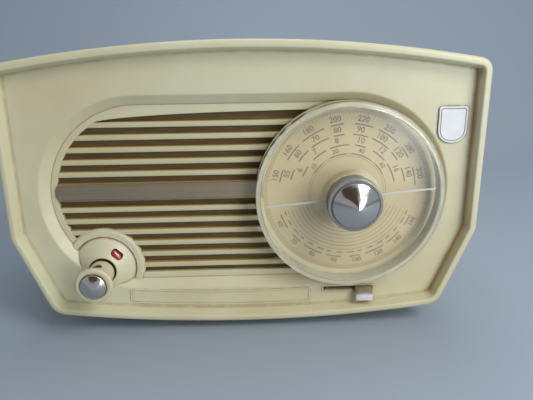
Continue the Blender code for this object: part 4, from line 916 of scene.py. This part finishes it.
class RADIO_OT_grille(bpy.types.Operator):
    """Build the louvre plate, its slats and the cloth behind them"""
    bl_idname = "radio.grille"
    bl_label = "Louvre Grille"

    def execute(self, context):
        sizes = context.scene.radio.grille
        volume = context.scene.radio.volume
        front = sizes.plate_depth
        bm = bmesh.new()
        outer = face_at(bm, stadium(sizes.half_length, DIAL[1], sizes.plate_radius + 0.6 * MM), front)
        open_face(bm, outer)
        sill = sizes.first_slot - sizes.opening
        turn = pi - asin((sill - DIAL[1]) / sizes.field_radius)
        left = arc((-sizes.half_length, DIAL[1]), sizes.field_radius, turn, 3 * pi / 2, 60)
        bow = left[0][0] - sizes.field_right
        head = [(sizes.field_right + bow * sin(a), sill + sizes.top_rise * cos(a))
                for a in [pi / 2 * i / 24 for i in range(24)]]
        field = head + left + [(sizes.field_right, DIAL[1] - sizes.field_radius)]
        inner = face_at(bm, field, front)
        step_in(bm, inner, rounded_path([(0.0, front, 0.0), (0.8 * MM, front, 0.5 * MM),
                                         (0.9 * MM, front + sizes.slat_depth, 0.0)], 4))
        open_face(bm, inner)
        loose = [edge for edge in bm.edges if len(edge.link_faces) == 0]
        bmesh.ops.triangle_fill(bm, use_beauty=True, edges=loose + rim_edges(bm, front))
        thicken(bm, 1.2 * MM)
        finish = cream_resin(context)
        piece("grille_plate", bm, finish)
        seam = bmesh.new()
        outline = stadium(sizes.half_length, DIAL[1], sizes.plate_radius + 0.1 * MM)
        bead(seam, outline, front, 0.45 * MM, 0.06 * MM)
        dirt = known("seam dirt", smooth_plastic, finishes(context).ochre, 0.6)
        piece("grille_seam", seam, dirt)
        ring = volume.ring_radius
        collar = ring + 1.3 * MM
        back = front + sizes.slat_depth
        path = rounded_path([(ring - 2.0 * MM, back, 0.0), (ring - 2.0 * MM, front, 0.0),
                             (collar, front, 0.5 * MM), (collar, back, 0.0)], 4)
        piece("grille_collar", spun(path, 96, VOLUME, True), finish)
        cloth = known("speaker cloth", woven_cloth, finishes(context).cloth, finishes(context).cloth_gold)
        near, far = depths("speaker_cloth")
        near -= 0.05 * MM
        margin = ring + 5.0 * MM
        path = [(ring, near), (margin, near), (margin, far), (ring, far)]
        piece("cloth_margin", spun(path, 96, VOLUME, True), cloth)
        slats = bmesh.new()
        shortest = 2.0 * MM
        for low, high in slat_heights(sizes):
            nearest = min(abs(low - DIAL[1]), abs(high - DIAL[1]))
            reach = sqrt(max(sizes.field_radius ** 2 - nearest ** 2, shortest ** 2))
            start = -sizes.half_length - reach - 1.5 * MM
            slat(slats, start, sizes.field_right + 1.0 * MM, low, high, sizes)
        # The louvres' cream, with painted warm shade on faces that look up.
        louvre = known("dusty cream", cream_plastic, finishes(context), 0.9)
        piece("grille_slats", slats, louvre, stands_for=("grille",))
        dress(cloth, "speaker_cloth")
        return {'FINISHED'}


def slat_heights(sizes):
    """Lower and upper edges of the slats, the broad one under the strip among them."""
    slots, under_strip = 14, 6
    tops = [sizes.first_slot - sizes.pitch * i for i in range(slots) if i != under_strip]
    lowest = DIAL[1] - sizes.field_radius - 0.6 * MM
    return [(lower, upper - sizes.opening) for upper, lower in zip(tops, tops[1:] + [lowest])]


def slat(bm, left, right, low, high, sizes):
    """One louvre slat: a bar with round front edges."""
    front = FRONT_Y + sizes.plate_depth + 0.12 * MM
    back = front + sizes.slat_depth
    radius = min(sizes.slat_rounding, (high - low) / 3)
    corners = [(back, low, 0.0), (front, low, radius), (front, high, radius), (back, high, 0.0)]
    bar(bm, rounded_path(corners, 4, True), left, right)


class RADIO_OT_strip(bpy.types.Operator):
    """Build the metal strip across the louvres"""
    bl_idname = "radio.strip"
    bl_label = "Metal Strip"

    def execute(self, context):
        low, high = STRIP_LOW, STRIP_HIGH
        corner = (high.z - low.z) / 4
        front, back = depths("grille_strip")
        edge = front + 0.2 * MM
        line = front + 0.25 * MM
        outline = [(low.x, low.z + corner), (low.x, high.z - corner), (low.x + corner, high.z),
                   (high.x, high.z), (high.x, low.z), (low.x + corner, low.z)]
        bm = bmesh.new()
        face = face_at(bm, outline, edge)
        bmesh.ops.contextual_create(bm, geom=drawn_back(bm, list(face.edges), back - edge))
        step_in(bm, face, [(0.0, edge), (0.2 * MM, front), (0.7 * MM, front), (0.8 * MM, line),
                           (1.1 * MM, line), (1.25 * MM, front + 0.1 * MM)])
        finish = known("champagne strip", brushed_metal, finishes(context).champagne, 0.36)
        piece("grille_strip_face", bm, finish, stands_for=("grille_strip",))
        return {'FINISHED'}


class RADIO_OT_badge(bpy.types.Operator):
    """Build the bare bright plate at the panel's upper right"""
    bl_idname = "radio.badge"
    bl_label = "Badge Plate"

    def execute(self, context):
        front, back = depths("badge_plate")
        edge = front + 0.25 * MM
        channel = front + 0.2 * MM
        radius = 1.6 * MM
        bm = bmesh.new()
        face = face_at(bm, self.outline(0.0, radius), edge)
        bmesh.ops.contextual_create(bm, geom=drawn_back(bm, list(face.edges), back - edge))
        step_in(bm, face, [(0.0, edge), (0.25 * MM, front), (0.8 * MM, front), (0.95 * MM, channel),
                           (1.25 * MM, channel), (1.4 * MM, front + 0.05 * MM)])
        finish = known("silver plate", smooth_plastic, finishes(context).silver, 0.34)
        piece("badge_face", bm, finish, stands_for=("badge_plate",))
        line = bmesh.new()
        bead(line, self.outline(1.2 * MM, radius / 2), front + 0.1 * MM, 0.34 * MM, 0.12 * MM)
        piece("badge_line", line, dark_moulding(context))
        return {'FINISHED'}

    def outline(self, inset, radius):
        """The plate's outline, or a line inside it: round at the foot."""
        low, high = BADGE_LOW, BADGE_HIGH
        foot = 7.6 * MM - inset
        corners = [(low.x + inset, low.z + inset, foot), (low.x + inset, high.z - inset, radius),
                   (high.x - inset, high.z - inset, radius), (high.x - inset, low.z + inset, foot)]
        return rounded_path(corners, 8, True)


class RADIO_OT_plaque(bpy.types.Operator):
    """Build the raised frame along the panel's foot and the lip of the lever's slot"""
    bl_idname = "radio.plaque"
    bl_label = "Foot Frame"

    def execute(self, context):
        sizes = context.scene.radio.case
        panel = sizes.panel
        lower = bowed(sizes.half_width - sizes.chamfer_run, sizes.bottom_z, -sizes.sag, 120)
        left, right = -76.0 * MM, 41.0 * MM
        foot, head = 8.2 * MM, 18.6 * MM
        line = [(x, z) for x, z in lower if left < x < right]
        corners = [(x, z + head, 0.0) for x, z in line] + [(x, z + foot, 0.0) for x, z in line[::-1]]
        count = len(line)
        for i in (0, count - 1, count, 2 * count - 1):
            corners[i] = (*corners[i][:2], 2.8 * MM)
        bm = bmesh.new()
        bead(bm, rounded_path(drop_near(corners), 5, True), panel, 1.2 * MM, 0.3 * MM)
        finish = cream_resin(context)
        piece("plaque_frame", bm, finish)
        lip = bmesh.new()
        bead(lip, lever_slot(1.6 * MM, 2.4 * MM, 1.0 * MM, 5), panel, 0.9 * MM, 0.4 * MM)
        piece("lever_slot_lip", lip, finish)
        return {'FINISHED'}


def bead(bm, outline, depth, width, rise):
    """A rounded bead along an outline on a flat face, rooted a little below it."""
    root = depth + 0.3 * MM
    crest = depth - rise
    face = face_at(bm, outline, root)
    step_in(bm, face, rounded_path([(0.0, root, 0.0), (width * 0.08, crest, rise * 0.7),
                                    (width * 0.92, crest, rise * 0.7), (width, root, 0.0)], 4))
    open_face(bm, face)
    bmesh.ops.bridge_loops(bm, edges=rim_edges(bm, root))


class RADIO_OT_disc(bpy.types.Operator):
    """Build the clear tuning disc and its pointer line"""
    bl_idname = "radio.disc"
    bl_label = "Tuning Disc"

    def execute(self, context):
        sizes = context.scene.radio.dial
        radius = sizes.disc_radius
        front = sizes.disc_front
        back = sizes.disc_back
        wall = sizes.disc_wall
        bore = 3.4 * MM
        inner = radius - wall
        seam = front + 4.0 * MM
        path = rounded_path([(bore, front, 0.0), (radius - 3.6 * MM, front, 0.4 * MM),
                             (radius - 3.3 * MM, front + 0.35 * MM, 0.2 * MM),
                             (radius, front + 0.8 * MM, 2.6 * MM),
                             (radius, seam, 0.0), (inner, seam, 0.0), (inner, front + wall, 1.0 * MM),
                             (bore, front + wall, 0.0)], 7)
        clear = known("clear plastic", clear_plastic, finishes(context).clear)
        piece("dial_disc_clear", spun(path, 180, DIAL, True), clear, "tuning",
              ("dial_disc",), sharp=SMOOTH_CLEAR)
        join = seam + 0.05 * MM
        step = radius - 0.5 * MM
        path = rounded_path([(inner, join, 0.0), (radius, join, 0.0), (radius, back - 3.0 * MM, 0.3 * MM),
                             (step, back - 2.6 * MM, 0.2 * MM), (step, back, 0.4 * MM),
                             (inner, back, 0.3 * MM)], 5)
        skirt = known("cloudy plastic", cloudy_plastic, finishes(context).cloudy)
        piece("dial_disc_skirt", spun(path, 180, DIAL, True), skirt, "tuning", sharp=SMOOTH_CLEAR)
        line = known("pointer white", smooth_plastic, finishes(context).line, 0.35)
        dress(line, "dial_pointer")
        return {'FINISHED'}


FULL_RINGS = (51.0, 49.9, 22.6, 24.0)
LOWER_RINGS = (26.4, 28.8, 31.2, 33.6, 36.0, 38.4)
# Each row of numbers: radius, size, the numbers, and the angles where the row starts and ends.
NUMBER_ROWS = ((45.6, 1.0, (150, 160, 180, 200, 220, 250, 280, 300), 14, 166),
               (39.2, 1.0, (55, 60, 70, 80, 90, 100, 120, 140), 18, 162),
               (32.8, 1.0, (6, 7, 8, 10, 12, 16), 26, 154),
               (26.6, 0.8, (10, 20, 40, 60), 38, 142),
               (46.2, 0.85, (160, 140, 120, 100, 90, 80, 70, 60), 206, 334))


class RADIO_OT_scale(bpy.types.Operator):
    """Print the dial card: number rings, bars, ticks and fine rings"""
    bl_idname = "radio.scale"
    bl_label = "Dial Card"

    def execute(self, context):
        sizes = context.scene.radio.dial
        dress(known("dial card", dial_card, finishes(context)), "dial_scale")
        inner, outer = 51.6 * MM, 56.4 * MM
        near, far = sizes.print_depth + 0.2 * MM, sizes.print_depth + 1.2 * MM
        path = [(inner, near), (outer, near), (outer, far), (inner, far)]
        piece("dial_margin", spun(path, 120, DIAL, True), cream_resin(context))
        face = sizes.print_depth - 0.03 * MM
        bm = bmesh.new()
        for radius in FULL_RINGS:
            flat_ring(bm, radius * MM, 0.22 * MM, 0.0, 2 * pi, face)
        for radius in LOWER_RINGS:
            flat_ring(bm, radius * MM, 0.25 * MM, radians(198), radians(342), face)
        for radius, size, numbers, start, end in NUMBER_ROWS:
            pitch = radians(end - start) / (len(numbers) - 1)
            for i, number in enumerate(numbers):
                angle = radians(end) - pitch * i
                lettered(bm, str(number), sizes.number_height * size, radius * MM, angle, face)
                half = pitch * (0.30 + 0.12 * (i % 3))
                flat_ring(bm, (radius - 3.3 * size) * MM, 0.9 * size * MM, angle - half,
                          angle + half * 0.7, face)
        for i in range(16):
            angle = radians(200 + 140 * i / 15)
            flat_ring(bm, 40.4 * MM, 0.8 * MM, angle - 0.05, angle + 0.02 + 0.02 * (i % 3), face)
        steps = 60
        for i in range(steps + 1):
            angle = radians(10 + 160 * i / steps)
            reach = 1.6 if i % 5 == 0 else 0.9
            tick(bm, 49.6 * MM, reach * MM, angle, face)
            tick(bm, 49.6 * MM, reach * MM, angle + pi, face)
        ink = known("dial ink", printed_ink, finishes(context).ink)
        piece("dial_print", bm, ink, recalculate=False)
        return {'FINISHED'}


def dial_spot(radius, angle, depth):
    """A place on the dial by its radius and its angle from the right."""
    return Vector((DIAL[0] + radius * cos(angle), FRONT_Y + depth, DIAL[1] + radius * sin(angle)))


def flat_ring(bm, radius, width, start, end, depth):
    """A thin printed arc."""
    pair = [bm.verts.new(dial_spot(radius + side * width / 2, start, depth)) for side in (-1, 1)]
    edge = bm.edges.new(pair)
    whole = end - start >= 2 * pi
    steps = max(3, round((end - start) / radians(3)))
    bmesh.ops.spin(bm, geom=pair + [edge], cent=(DIAL[0], 0.0, DIAL[1]), axis=(0.0, -1.0, 0.0),
                   angle=end - start, steps=steps, use_merge=whole)


def tick(bm, radius, reach, angle, depth):
    """A short printed mark that points at the dial's centre."""
    flat_ring(bm, radius - reach / 2, reach, angle, angle + 0.006, depth)


def lettered(bm, text, height, radius, angle, depth):
    """A printed number that stands on a ring of the dial."""
    curve = bpy.data.curves.new("number", 'FONT')
    curve.body = text
    curve.size = height * 1.25
    curve.align_x = 'CENTER'
    curve.align_y = 'CENTER'
    curve.resolution_u = 3
    curve.offset = height * 0.028
    obj = bpy.data.objects.new("number", curve)
    bpy.context.scene.collection.objects.link(obj)
    mesh = bpy.data.meshes.new_from_object(obj.evaluated_get(bpy.context.evaluated_depsgraph_get()))
    lean = angle - pi / 2 if angle < pi else angle + pi / 2
    turn = Matrix.Rotation(pi / 2, 4, 'X') @ Matrix.Rotation(lean, 4, 'Z')
    mesh.transform(Matrix.Translation(dial_spot(radius, angle, depth)) @ turn)
    bm.from_mesh(mesh)
    bpy.data.objects.remove(obj)
    bpy.data.curves.remove(curve)
    bpy.data.meshes.remove(mesh)


class RADIO_OT_grip(bpy.types.Operator):
    """Build the collar, knurled grip and bright cone of the tuning knob"""
    bl_idname = "radio.grip"
    bl_label = "Tuning Knob"

    def execute(self, context):
        sizes = context.scene.radio.dial
        front, back = depths("tuning_grip")
        inner = sizes.grip_radius + 0.1 * MM
        top = back - 2.2 * MM
        path = rounded_path([(inner, back, 0.0), (sizes.collar_radius, back, 0.3 * MM),
                             (sizes.collar_radius, top, 0.9 * MM),
                             (sizes.grip_radius + 0.6 * MM, back - 2.6 * MM, 0.4 * MM),
                             (inner, top, 0.0)], 6)
        clear = known("clear plastic", clear_plastic, finishes(context).clear)
        piece("tuning_collar", spun(path, 120, DIAL, True), clear, "tuning", sharp=SMOOTH_CLEAR)
        barrel = sizes.grip_radius - 0.3 * MM
        path = rounded_path([(0.0, back - 0.3 * MM, 0.0), (barrel, back - 0.3 * MM, 0.0),
                             (barrel, front + 1.2 * MM, 0.6 * MM), (barrel - 0.7 * MM, front, 0.4 * MM),
                             (0.0, front, 0.0)], 5)
        bm = spun(path, 110, DIAL)
        teeth = 80
        for i in range(teeth):
            ridge(bm, sizes.grip_radius, 2 * pi * i / teeth, front + 1.2 * MM, back - 1.0 * MM)
        grip = known("grip moulding", smooth_plastic, finishes(context).grip, 0.24, 0.6)
        piece("tuning_grip_knurled", bm, grip, "tuning", ("tuning_grip",))
        rim = sizes.grip_radius + 0.2 * MM
        around = sizes.cap_radius + 0.7 * MM
        path = rounded_path([(around, front + 0.6 * MM, 0.0), (around, front - 0.5 * MM, 0.3 * MM),
                             (rim, front - 0.3 * MM, 0.6 * MM), (rim, front + 1.2 * MM, 0.3 * MM),
                             (rim - 0.6 * MM, front + 1.4 * MM, 0.0)], 5)
        pale = known("pale rim", cloudy_plastic, finishes(context).rim)
        piece("tuning_rim", spun(path, 120, DIAL, True), pale, "tuning")
        tip, base = depths("tuning_cap")
        path = rounded_path([(0.0, tip, 0.0), (0.6 * MM, tip + 0.05 * MM, 0.0),
                             (sizes.cap_radius, base - 1.6 * MM, 0.8 * MM),
                             (sizes.cap_radius, base, 0.15 * MM), (0.0, base, 0.0)], 6)
        plating = known("bright plating", bright_plating)
        piece("tuning_cap_cone", spun(path, 160, DIAL), plating, "tuning", ("tuning_cap",))
        return {'FINISHED'}


def ridge(bm, radius, angle, front, back):
    """One ridge of the grip's knurling, along its barrel."""
    made = bmesh.ops.create_cube(bm, size=1.0)["verts"]
    bmesh.ops.scale(bm, verts=made, vec=(0.8 * MM, back - front, 0.6 * MM))
    bmesh.ops.translate(bm, verts=made, vec=(radius - 0.4 * MM, FRONT_Y + (front + back) / 2, 0.0))
    bmesh.ops.rotate(bm, verts=made, matrix=Matrix.Rotation(angle, 3, 'Y'))
    bmesh.ops.translate(bm, verts=made, vec=(DIAL[0], 0.0, DIAL[1]))


class RADIO_OT_knob(bpy.types.Operator):
    """Build the volume knob, its bright cone and its set screw"""
    bl_idname = "radio.knob"
    bl_label = "Volume Knob"

    def execute(self, context):
        sizes = context.scene.radio.volume
        front, back = depths("volume_knob")
        bore, seat = 3.4 * MM, sizes.cap_radius + 0.2 * MM
        path = rounded_path([(bore, back, 0.0), (sizes.neck_radius, back, 0.5 * MM),
                             (sizes.neck_radius + 0.2 * MM, front + 11.0 * MM, 14.0 * MM),
                             (sizes.neck_radius + 1.4 * MM, front + 5.0 * MM, 8.0 * MM),
                             (sizes.knob_radius, front + 1.6 * MM, 1.2 * MM),
                             (sizes.knob_radius - 1.0 * MM, front, 0.9 * MM),
                             (seat, front, 0.2 * MM), (seat, front + 0.4 * MM, 0.0),
                             (bore, front + 0.4 * MM, 0.0)], 6)
        finish = cream_resin(context)
        knob = piece("volume_knob_cream", spun(path, 120, VOLUME, True), finish, "volume",
                     ("volume_knob",))
        screw_low, screw_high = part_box("volume_set_screw")
        centre = (screw_low + screw_high) / 2
        centre.y -= 1.0 * MM
        hole = bmesh.new()
        hole_radius = 2.8 * MM
        inside, outside = VOLUME[1] + 1.0 * MM, VOLUME[1] + 16.0 * MM
        upright(hole, [(0.0, inside), (hole_radius, inside), (hole_radius, outside), (0.0, outside)],
                32, centre)
        cut(knob, hole)
        grub = bmesh.new()
        radius = hole_radius - 0.1 * MM
        top = VOLUME[1] + sizes.neck_radius - 0.6 * MM
        upright(grub, [(0.0, screw_low.z), (radius, screw_low.z), (radius, top - 0.3 * MM),
                       (radius - 0.3 * MM, top), (0.0, top)], 24, centre)
        # The screw is near black: painted shade in its hole.
        dull = known("dull steel", plated_steel, (0.045, 0.038, 0.032, 1.0), 0.8)
        screw = piece("volume_set_screw_slotted", grub, dull, "volume", ("volume_set_screw",))
        cut(screw, groove((4.0 * MM, 0.5 * MM, 1.6 * MM), (centre.x, centre.y, top)))
        tip, base = depths("volume_cap")
        base += 0.5 * MM
        path = rounded_path([(0.0, tip, 0.0), (0.5 * MM, tip + 0.05 * MM, 0.0),
                             (sizes.cap_radius, base - 1.4 * MM, 0.6 * MM), (sizes.cap_radius, base, 0.0),
                             (0.0, base, 0.0)], 6)
        plating = known("bright plating", bright_plating)
        piece("volume_cap_cone", spun(path, 120, VOLUME), plating, "volume", ("volume_cap",))
        return {'FINISHED'}


class RADIO_OT_lever(bpy.types.Operator):
    """Build the sliding band lever"""
    bl_idname = "radio.lever"
    bl_label = "Band Lever"

    def execute(self, context):
        low, high = LEVER_LOW, LEVER_HIGH
        front = low.y
        tongue = high.z - 2.0 * MM
        back = FRONT_Y + 6.6 * MM
        corners = [(front, low.z, 0.5 * MM), (front, tongue, 0.9 * MM), (back, high.z, 0.3 * MM),
                   (high.y, high.z, 0.2 * MM), (high.y, tongue, 0.2 * MM), (back, tongue, 0.8 * MM),
                   (back - 1.0 * MM, (low.z + tongue) / 2, 1.5 * MM), (back - 2.0 * MM, low.z, 0.5 * MM)]
        bm = bmesh.new()
        broken_edges(bm, bar(bm, rounded_path(corners, 5, True), low.x, high.x), 0.15 * MM, 2)
        # Above the bend the lever is painted in shade, below it with a painted highlight.
        bend = low.z + (high.z - low.z) * 0.62
        finish = known("rubbed lever", rubbed_plastic, finishes(context).lever_dusty,
                       finishes(context).lever_pale, bend + 0.9 * MM, bend - 0.5 * MM)
        piece("band_lever_tab", bm, finish, "band", ("band_lever",))
        return {'FINISHED'}


class RADIO_OT_feet(bpy.types.Operator):
    """Build the rubber feet"""
    bl_idname = "radio.feet"
    bl_label = "Feet"

    def execute(self, context):
        rubber = known("worn rubber", worn_rubber)
        for name in FEET:
            low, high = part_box(name)
            radius = (high.x - low.x) / 2
            hollow = 0.6 * MM
            path = rounded_path([(0.0, hollow, 0.0), (3.0 * MM, hollow, 0.0), (3.6 * MM, 0.0, 0.3 * MM),
                                 (radius - 0.8 * MM, 0.0, 0.6 * MM), (radius, high.z, 0.0),
                                 (0.0, high.z, 0.0)], 4)
            bm = bmesh.new()
            upright(bm, path, 48, (low + high) / 2)
            piece(f"{name}_rubber", bm, rubber, stands_for=(name,))
        return {'FINISHED'}


class RADIO_OT_back(bpy.types.Operator):
    """Build the back's screws and grommet, and finish the back cover"""
    bl_idname = "radio.back"
    bl_label = "Back"

    def execute(self, context):
        steel = known("plated steel", plated_steel)
        for i in range(1, 5):
            name = f"back_screw_{i}"
            low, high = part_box(name)
            centre = ((low.x + high.x) / 2, (low.z + high.z) / 2)
            tip, head = depths(name)
            seat = head - 1.4 * MM
            shank, radius = 1.5 * MM, (high.x - low.x) / 2
            path = rounded_path([(0.0, tip, 0.0), (shank, tip + 1.0 * MM, 0.0), (shank, seat, 0.0),
                                 (radius, seat, 0.2 * MM), (radius - 0.4 * MM, head, 0.9 * MM),
                                 (0.0, head, 0.0)], 5)
            screw = piece(f"{name}_slotted", spun(path, 40, centre), steel, stands_for=(name,))
            slot = (12.0 * MM, 1.4 * MM, 0.8 * MM)
            cut(screw, groove(slot, (centre[0], high.y, centre[1]), 0.6 + 0.8 * i))
        low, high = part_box("cord_grommet")
        centre = ((low.x + high.x) / 2, (low.z + high.z) / 2)
        front, back = depths("cord_grommet")
        flange = back - 1.4 * MM
        bore, neck = 3.1 * MM, 5.2 * MM
        path = rounded_path([(bore, front, 0.4 * MM), (neck, front, 0.4 * MM), (neck, flange, 0.0),
                             (8.0 * MM, flange, 0.2 * MM), (7.4 * MM, back, 0.7 * MM),
                             (bore, back, 0.8 * MM)], 5, True)
        rubber = known("worn rubber", worn_rubber)
        piece("cord_grommet_rubber", spun(path, 60, centre, True), rubber,
              stands_for=("cord_grommet",))
        dress(known("pressed board", pressed_board, finishes(context).board), "back_cover")
        dress(dark_moulding(context), "aerial_socket_strip")
        return {'FINISHED'}


class RADIO_OT_inside(bpy.types.Operator):
    """Finish the works inside the case"""
    bl_idname = "radio.inside"
    bl_label = "Works"

    def execute(self, context):
        steel = known("plated steel", plated_steel)
        dress(steel, "chassis", "chassis_screw_1", "chassis_screw_2", "board_screw_1", "board_screw_2",
              "gang_frame", "pot_bracket", "volume_pot", "speaker_frame", "tuning_shaft", "volume_shaft")
        aluminium = known("can aluminium", brushed_metal, (0.66, 0.66, 0.65, 1.0), 0.30, (300.0, 300.0, 20.0))
        dress(aluminium, "if_can_1", "if_can_2", "smoothing_can", "gang_rotor", "gang_stator")
        brass = known("nut brass", brushed_metal, (0.55, 0.40, 0.16, 1.0), 0.30, (200.0, 900.0, 200.0))
        dress(brass, "pot_nut")
        glass = known("valve glass", valve_glass)
        for i in range(1, 6):
            dress(glass, f"valve_{i}")
            dress(dark_moulding(context), f"valve_socket_{i}")
        dress(known("wound iron", wound_iron), "output_transformer", "speaker_magnet")
        dress(known("cone paper", smooth_plastic, (0.10, 0.09, 0.08, 1.0), 0.85), "speaker_cone")
        dress(known("tube ceramic", smooth_plastic, (0.46, 0.40, 0.31, 1.0), 0.6), "dropper_resistor")
        dress(known("pressed board", pressed_board, finishes(context).board), "baffle_board", "band_switch")
        return {'FINISHED'}


class RADIO_OT_stage(bpy.types.Operator):
    """Build the floor, the lamps and the camera"""
    bl_idname = "radio.stage"
    bl_label = "Stage"

    def execute(self, context):
        floor = Finish("floor")
        tone = tuple(finishes(context).floor)
        clouds = floor.between(floor.noise(3.0, 3.0), 0.3, 0.7)
        floor.feed("Base Color", floor.mixed(clouds * 0.25, tone, plain(tone, 0.94)))
        floor.feed("Roughness", 0.6 + clouds * 0.1)
        bm = bmesh.new()
        reach = 2.6
        path = rounded_path([(-reach, 0.0, 0.0), (0.75, 0.0, 0.45), (0.95, 1.6, 0.0)], 16)
        points = [bm.verts.new((-reach, y, z)) for y, z in path]
        edges = [bm.edges.new(pair) for pair in zip(points, points[1:])]
        moved = points_of(bmesh.ops.extrude_edge_only(bm, edges=edges)["geom"])
        bmesh.ops.translate(bm, verts=moved, vec=(2 * reach, 0.0, 0.0))
        bmesh.ops.recalc_face_normals(bm, faces=bm.faces)
        self.sheet(context, "floor", bm, floor.material)
        self.lamp(context, "key", (0.52, -0.56, 0.72), (0.04, -0.03, 0.09), 0.40, 4.3, (1.0, 0.98, 0.95))
        self.lamp(context, "window", (0.42, -0.60, 0.20), (0.08, -0.05, 0.10), 0.34, 1.75, (0.96, 0.98, 1.0))
        self.lamp(context, "top", (0.1, 0.40, 1.1), (0.0, 0.05, 0.08), 0.8, 3.4, (0.95, 0.98, 1.0))
        self.card(context)
        world = bpy.data.worlds.new("studio")
        world.use_nodes = True
        sky = world.node_tree.nodes["Background"]
        sky.inputs["Color"].default_value = (0.88, 0.94, 1.0, 1.0)
        sky.inputs["Strength"].default_value = 0.42
        context.scene.world = world
        context.scene.view_settings.view_transform = 'Standard'
        self.camera(context)
        return {'FINISHED'}

    def lamp(self, context, name, place, aim, size, power, tone):
        """A square soft lamp that points at a spot."""
        data = bpy.data.lights.new(name, 'AREA')
        data.size = size
        data.energy = power
        data.color = tone
        lamp = bpy.data.objects.new(name, data)
        lamp.location = place
        lamp.rotation_euler = (Vector(aim) - Vector(place)).to_track_quat('-Z', 'Y').to_euler()
        context.scene.collection.objects.link(lamp)

    def card(self, context):
        """A brown card, high in front, that the bright cones mirror."""
        finish = known("brown card", smooth_plastic, finishes(context).card, 0.8)
        bm = bmesh.new()
        bmesh.ops.create_grid(bm, x_segments=1, y_segments=1, size=1.0)
        bmesh.ops.scale(bm, verts=bm.verts, vec=(0.68, 0.41, 1.0))
        place = Vector((-0.28, -1.28, 0.99))
        turn = (Vector((0.0, -0.06, 0.08)) - place).to_track_quat('Z', 'Y').to_matrix().to_4x4()
        bmesh.ops.transform(bm, verts=bm.verts, matrix=Matrix.Translation(place) @ turn)
        self.sheet(context, "brown_card", bm, finish)

    def sheet(self, context, name, bm, finish):
        """A plain sheet of the stage, smooth all over."""
        mesh = bpy.data.meshes.new(name)
        bm.to_mesh(mesh)
        bm.free()
        mesh.shade_smooth()
        mesh.materials.append(finish)
        obj = bpy.data.objects.new(name, mesh)
        context.scene.collection.objects.link(obj)

    def camera(self, context):
        """The camera: a little above the set, looking down at its front."""
        data = bpy.data.cameras.new("camera")
        data.sensor_width = 36.0
        data.lens = 36.8
        camera = bpy.data.objects.new("camera", data)
        context.scene.collection.objects.link(camera)
        yaw, pitch, roll = 0.033, -0.301, -0.012
        ahead = Vector((sin(yaw) * cos(pitch), cos(yaw) * cos(pitch), sin(pitch)))
        level = Vector((cos(yaw), -sin(yaw), 0.0))
        upward = level.cross(ahead)
        right = level * cos(roll) + upward * sin(roll)
        top = right.cross(ahead)
        turn = Matrix((right, top, -ahead)).transposed()
        camera.matrix_world = Matrix.Translation((0.00244, -0.3646, 0.1826)) @ turn.to_4x4()
        context.scene.camera = camera


class RADIO_PT_looks(bpy.types.Panel):
    """Settings and pieces of the radio's looks"""
    bl_idname = "RADIO_PT_looks"
    bl_label = "Table Radio"
    bl_space_type = 'VIEW_3D'
    bl_region_type = 'UI'
    bl_category = "Radio"

    def draw(self, context):
        settings = context.scene.radio
        for group in (settings.case, settings.grille, settings.dial, settings.volume, settings.finish):
            box = self.layout.box()
            for key in group.__annotations__:
                box.prop(group, key)
        for operator in OPERATORS:
            self.layout.operator(operator.bl_idname)


GROUPS = (CaseSizes, GrilleSizes, DialSizes, VolumeSizes, Finishes, RadioSettings)
OPERATORS = (RADIO_OT_case, RADIO_OT_boss, RADIO_OT_grille, RADIO_OT_strip, RADIO_OT_badge,
             RADIO_OT_plaque, RADIO_OT_disc, RADIO_OT_scale, RADIO_OT_grip, RADIO_OT_knob,
             RADIO_OT_lever, RADIO_OT_feet, RADIO_OT_back, RADIO_OT_inside, RADIO_OT_stage)


def register():
    for item in GROUPS + OPERATORS + (RADIO_PT_looks,):
        bpy.utils.register_class(item)
    bpy.types.Scene.radio = bpy.props.PointerProperty(type=RadioSettings, name="Radio",
                                                      description="Looks of the radio")


def unregister():
    del bpy.types.Scene.radio
    for item in reversed(GROUPS + OPERATORS + (RADIO_PT_looks,)):
        bpy.utils.unregister_class(item)


def main():
    """Register everything and build the pieces in order."""
    register()
    for operator in OPERATORS:
        getattr(bpy.ops.radio, operator.bl_idname.split(".")[1])()


if __name__ == "__main__":
    main()
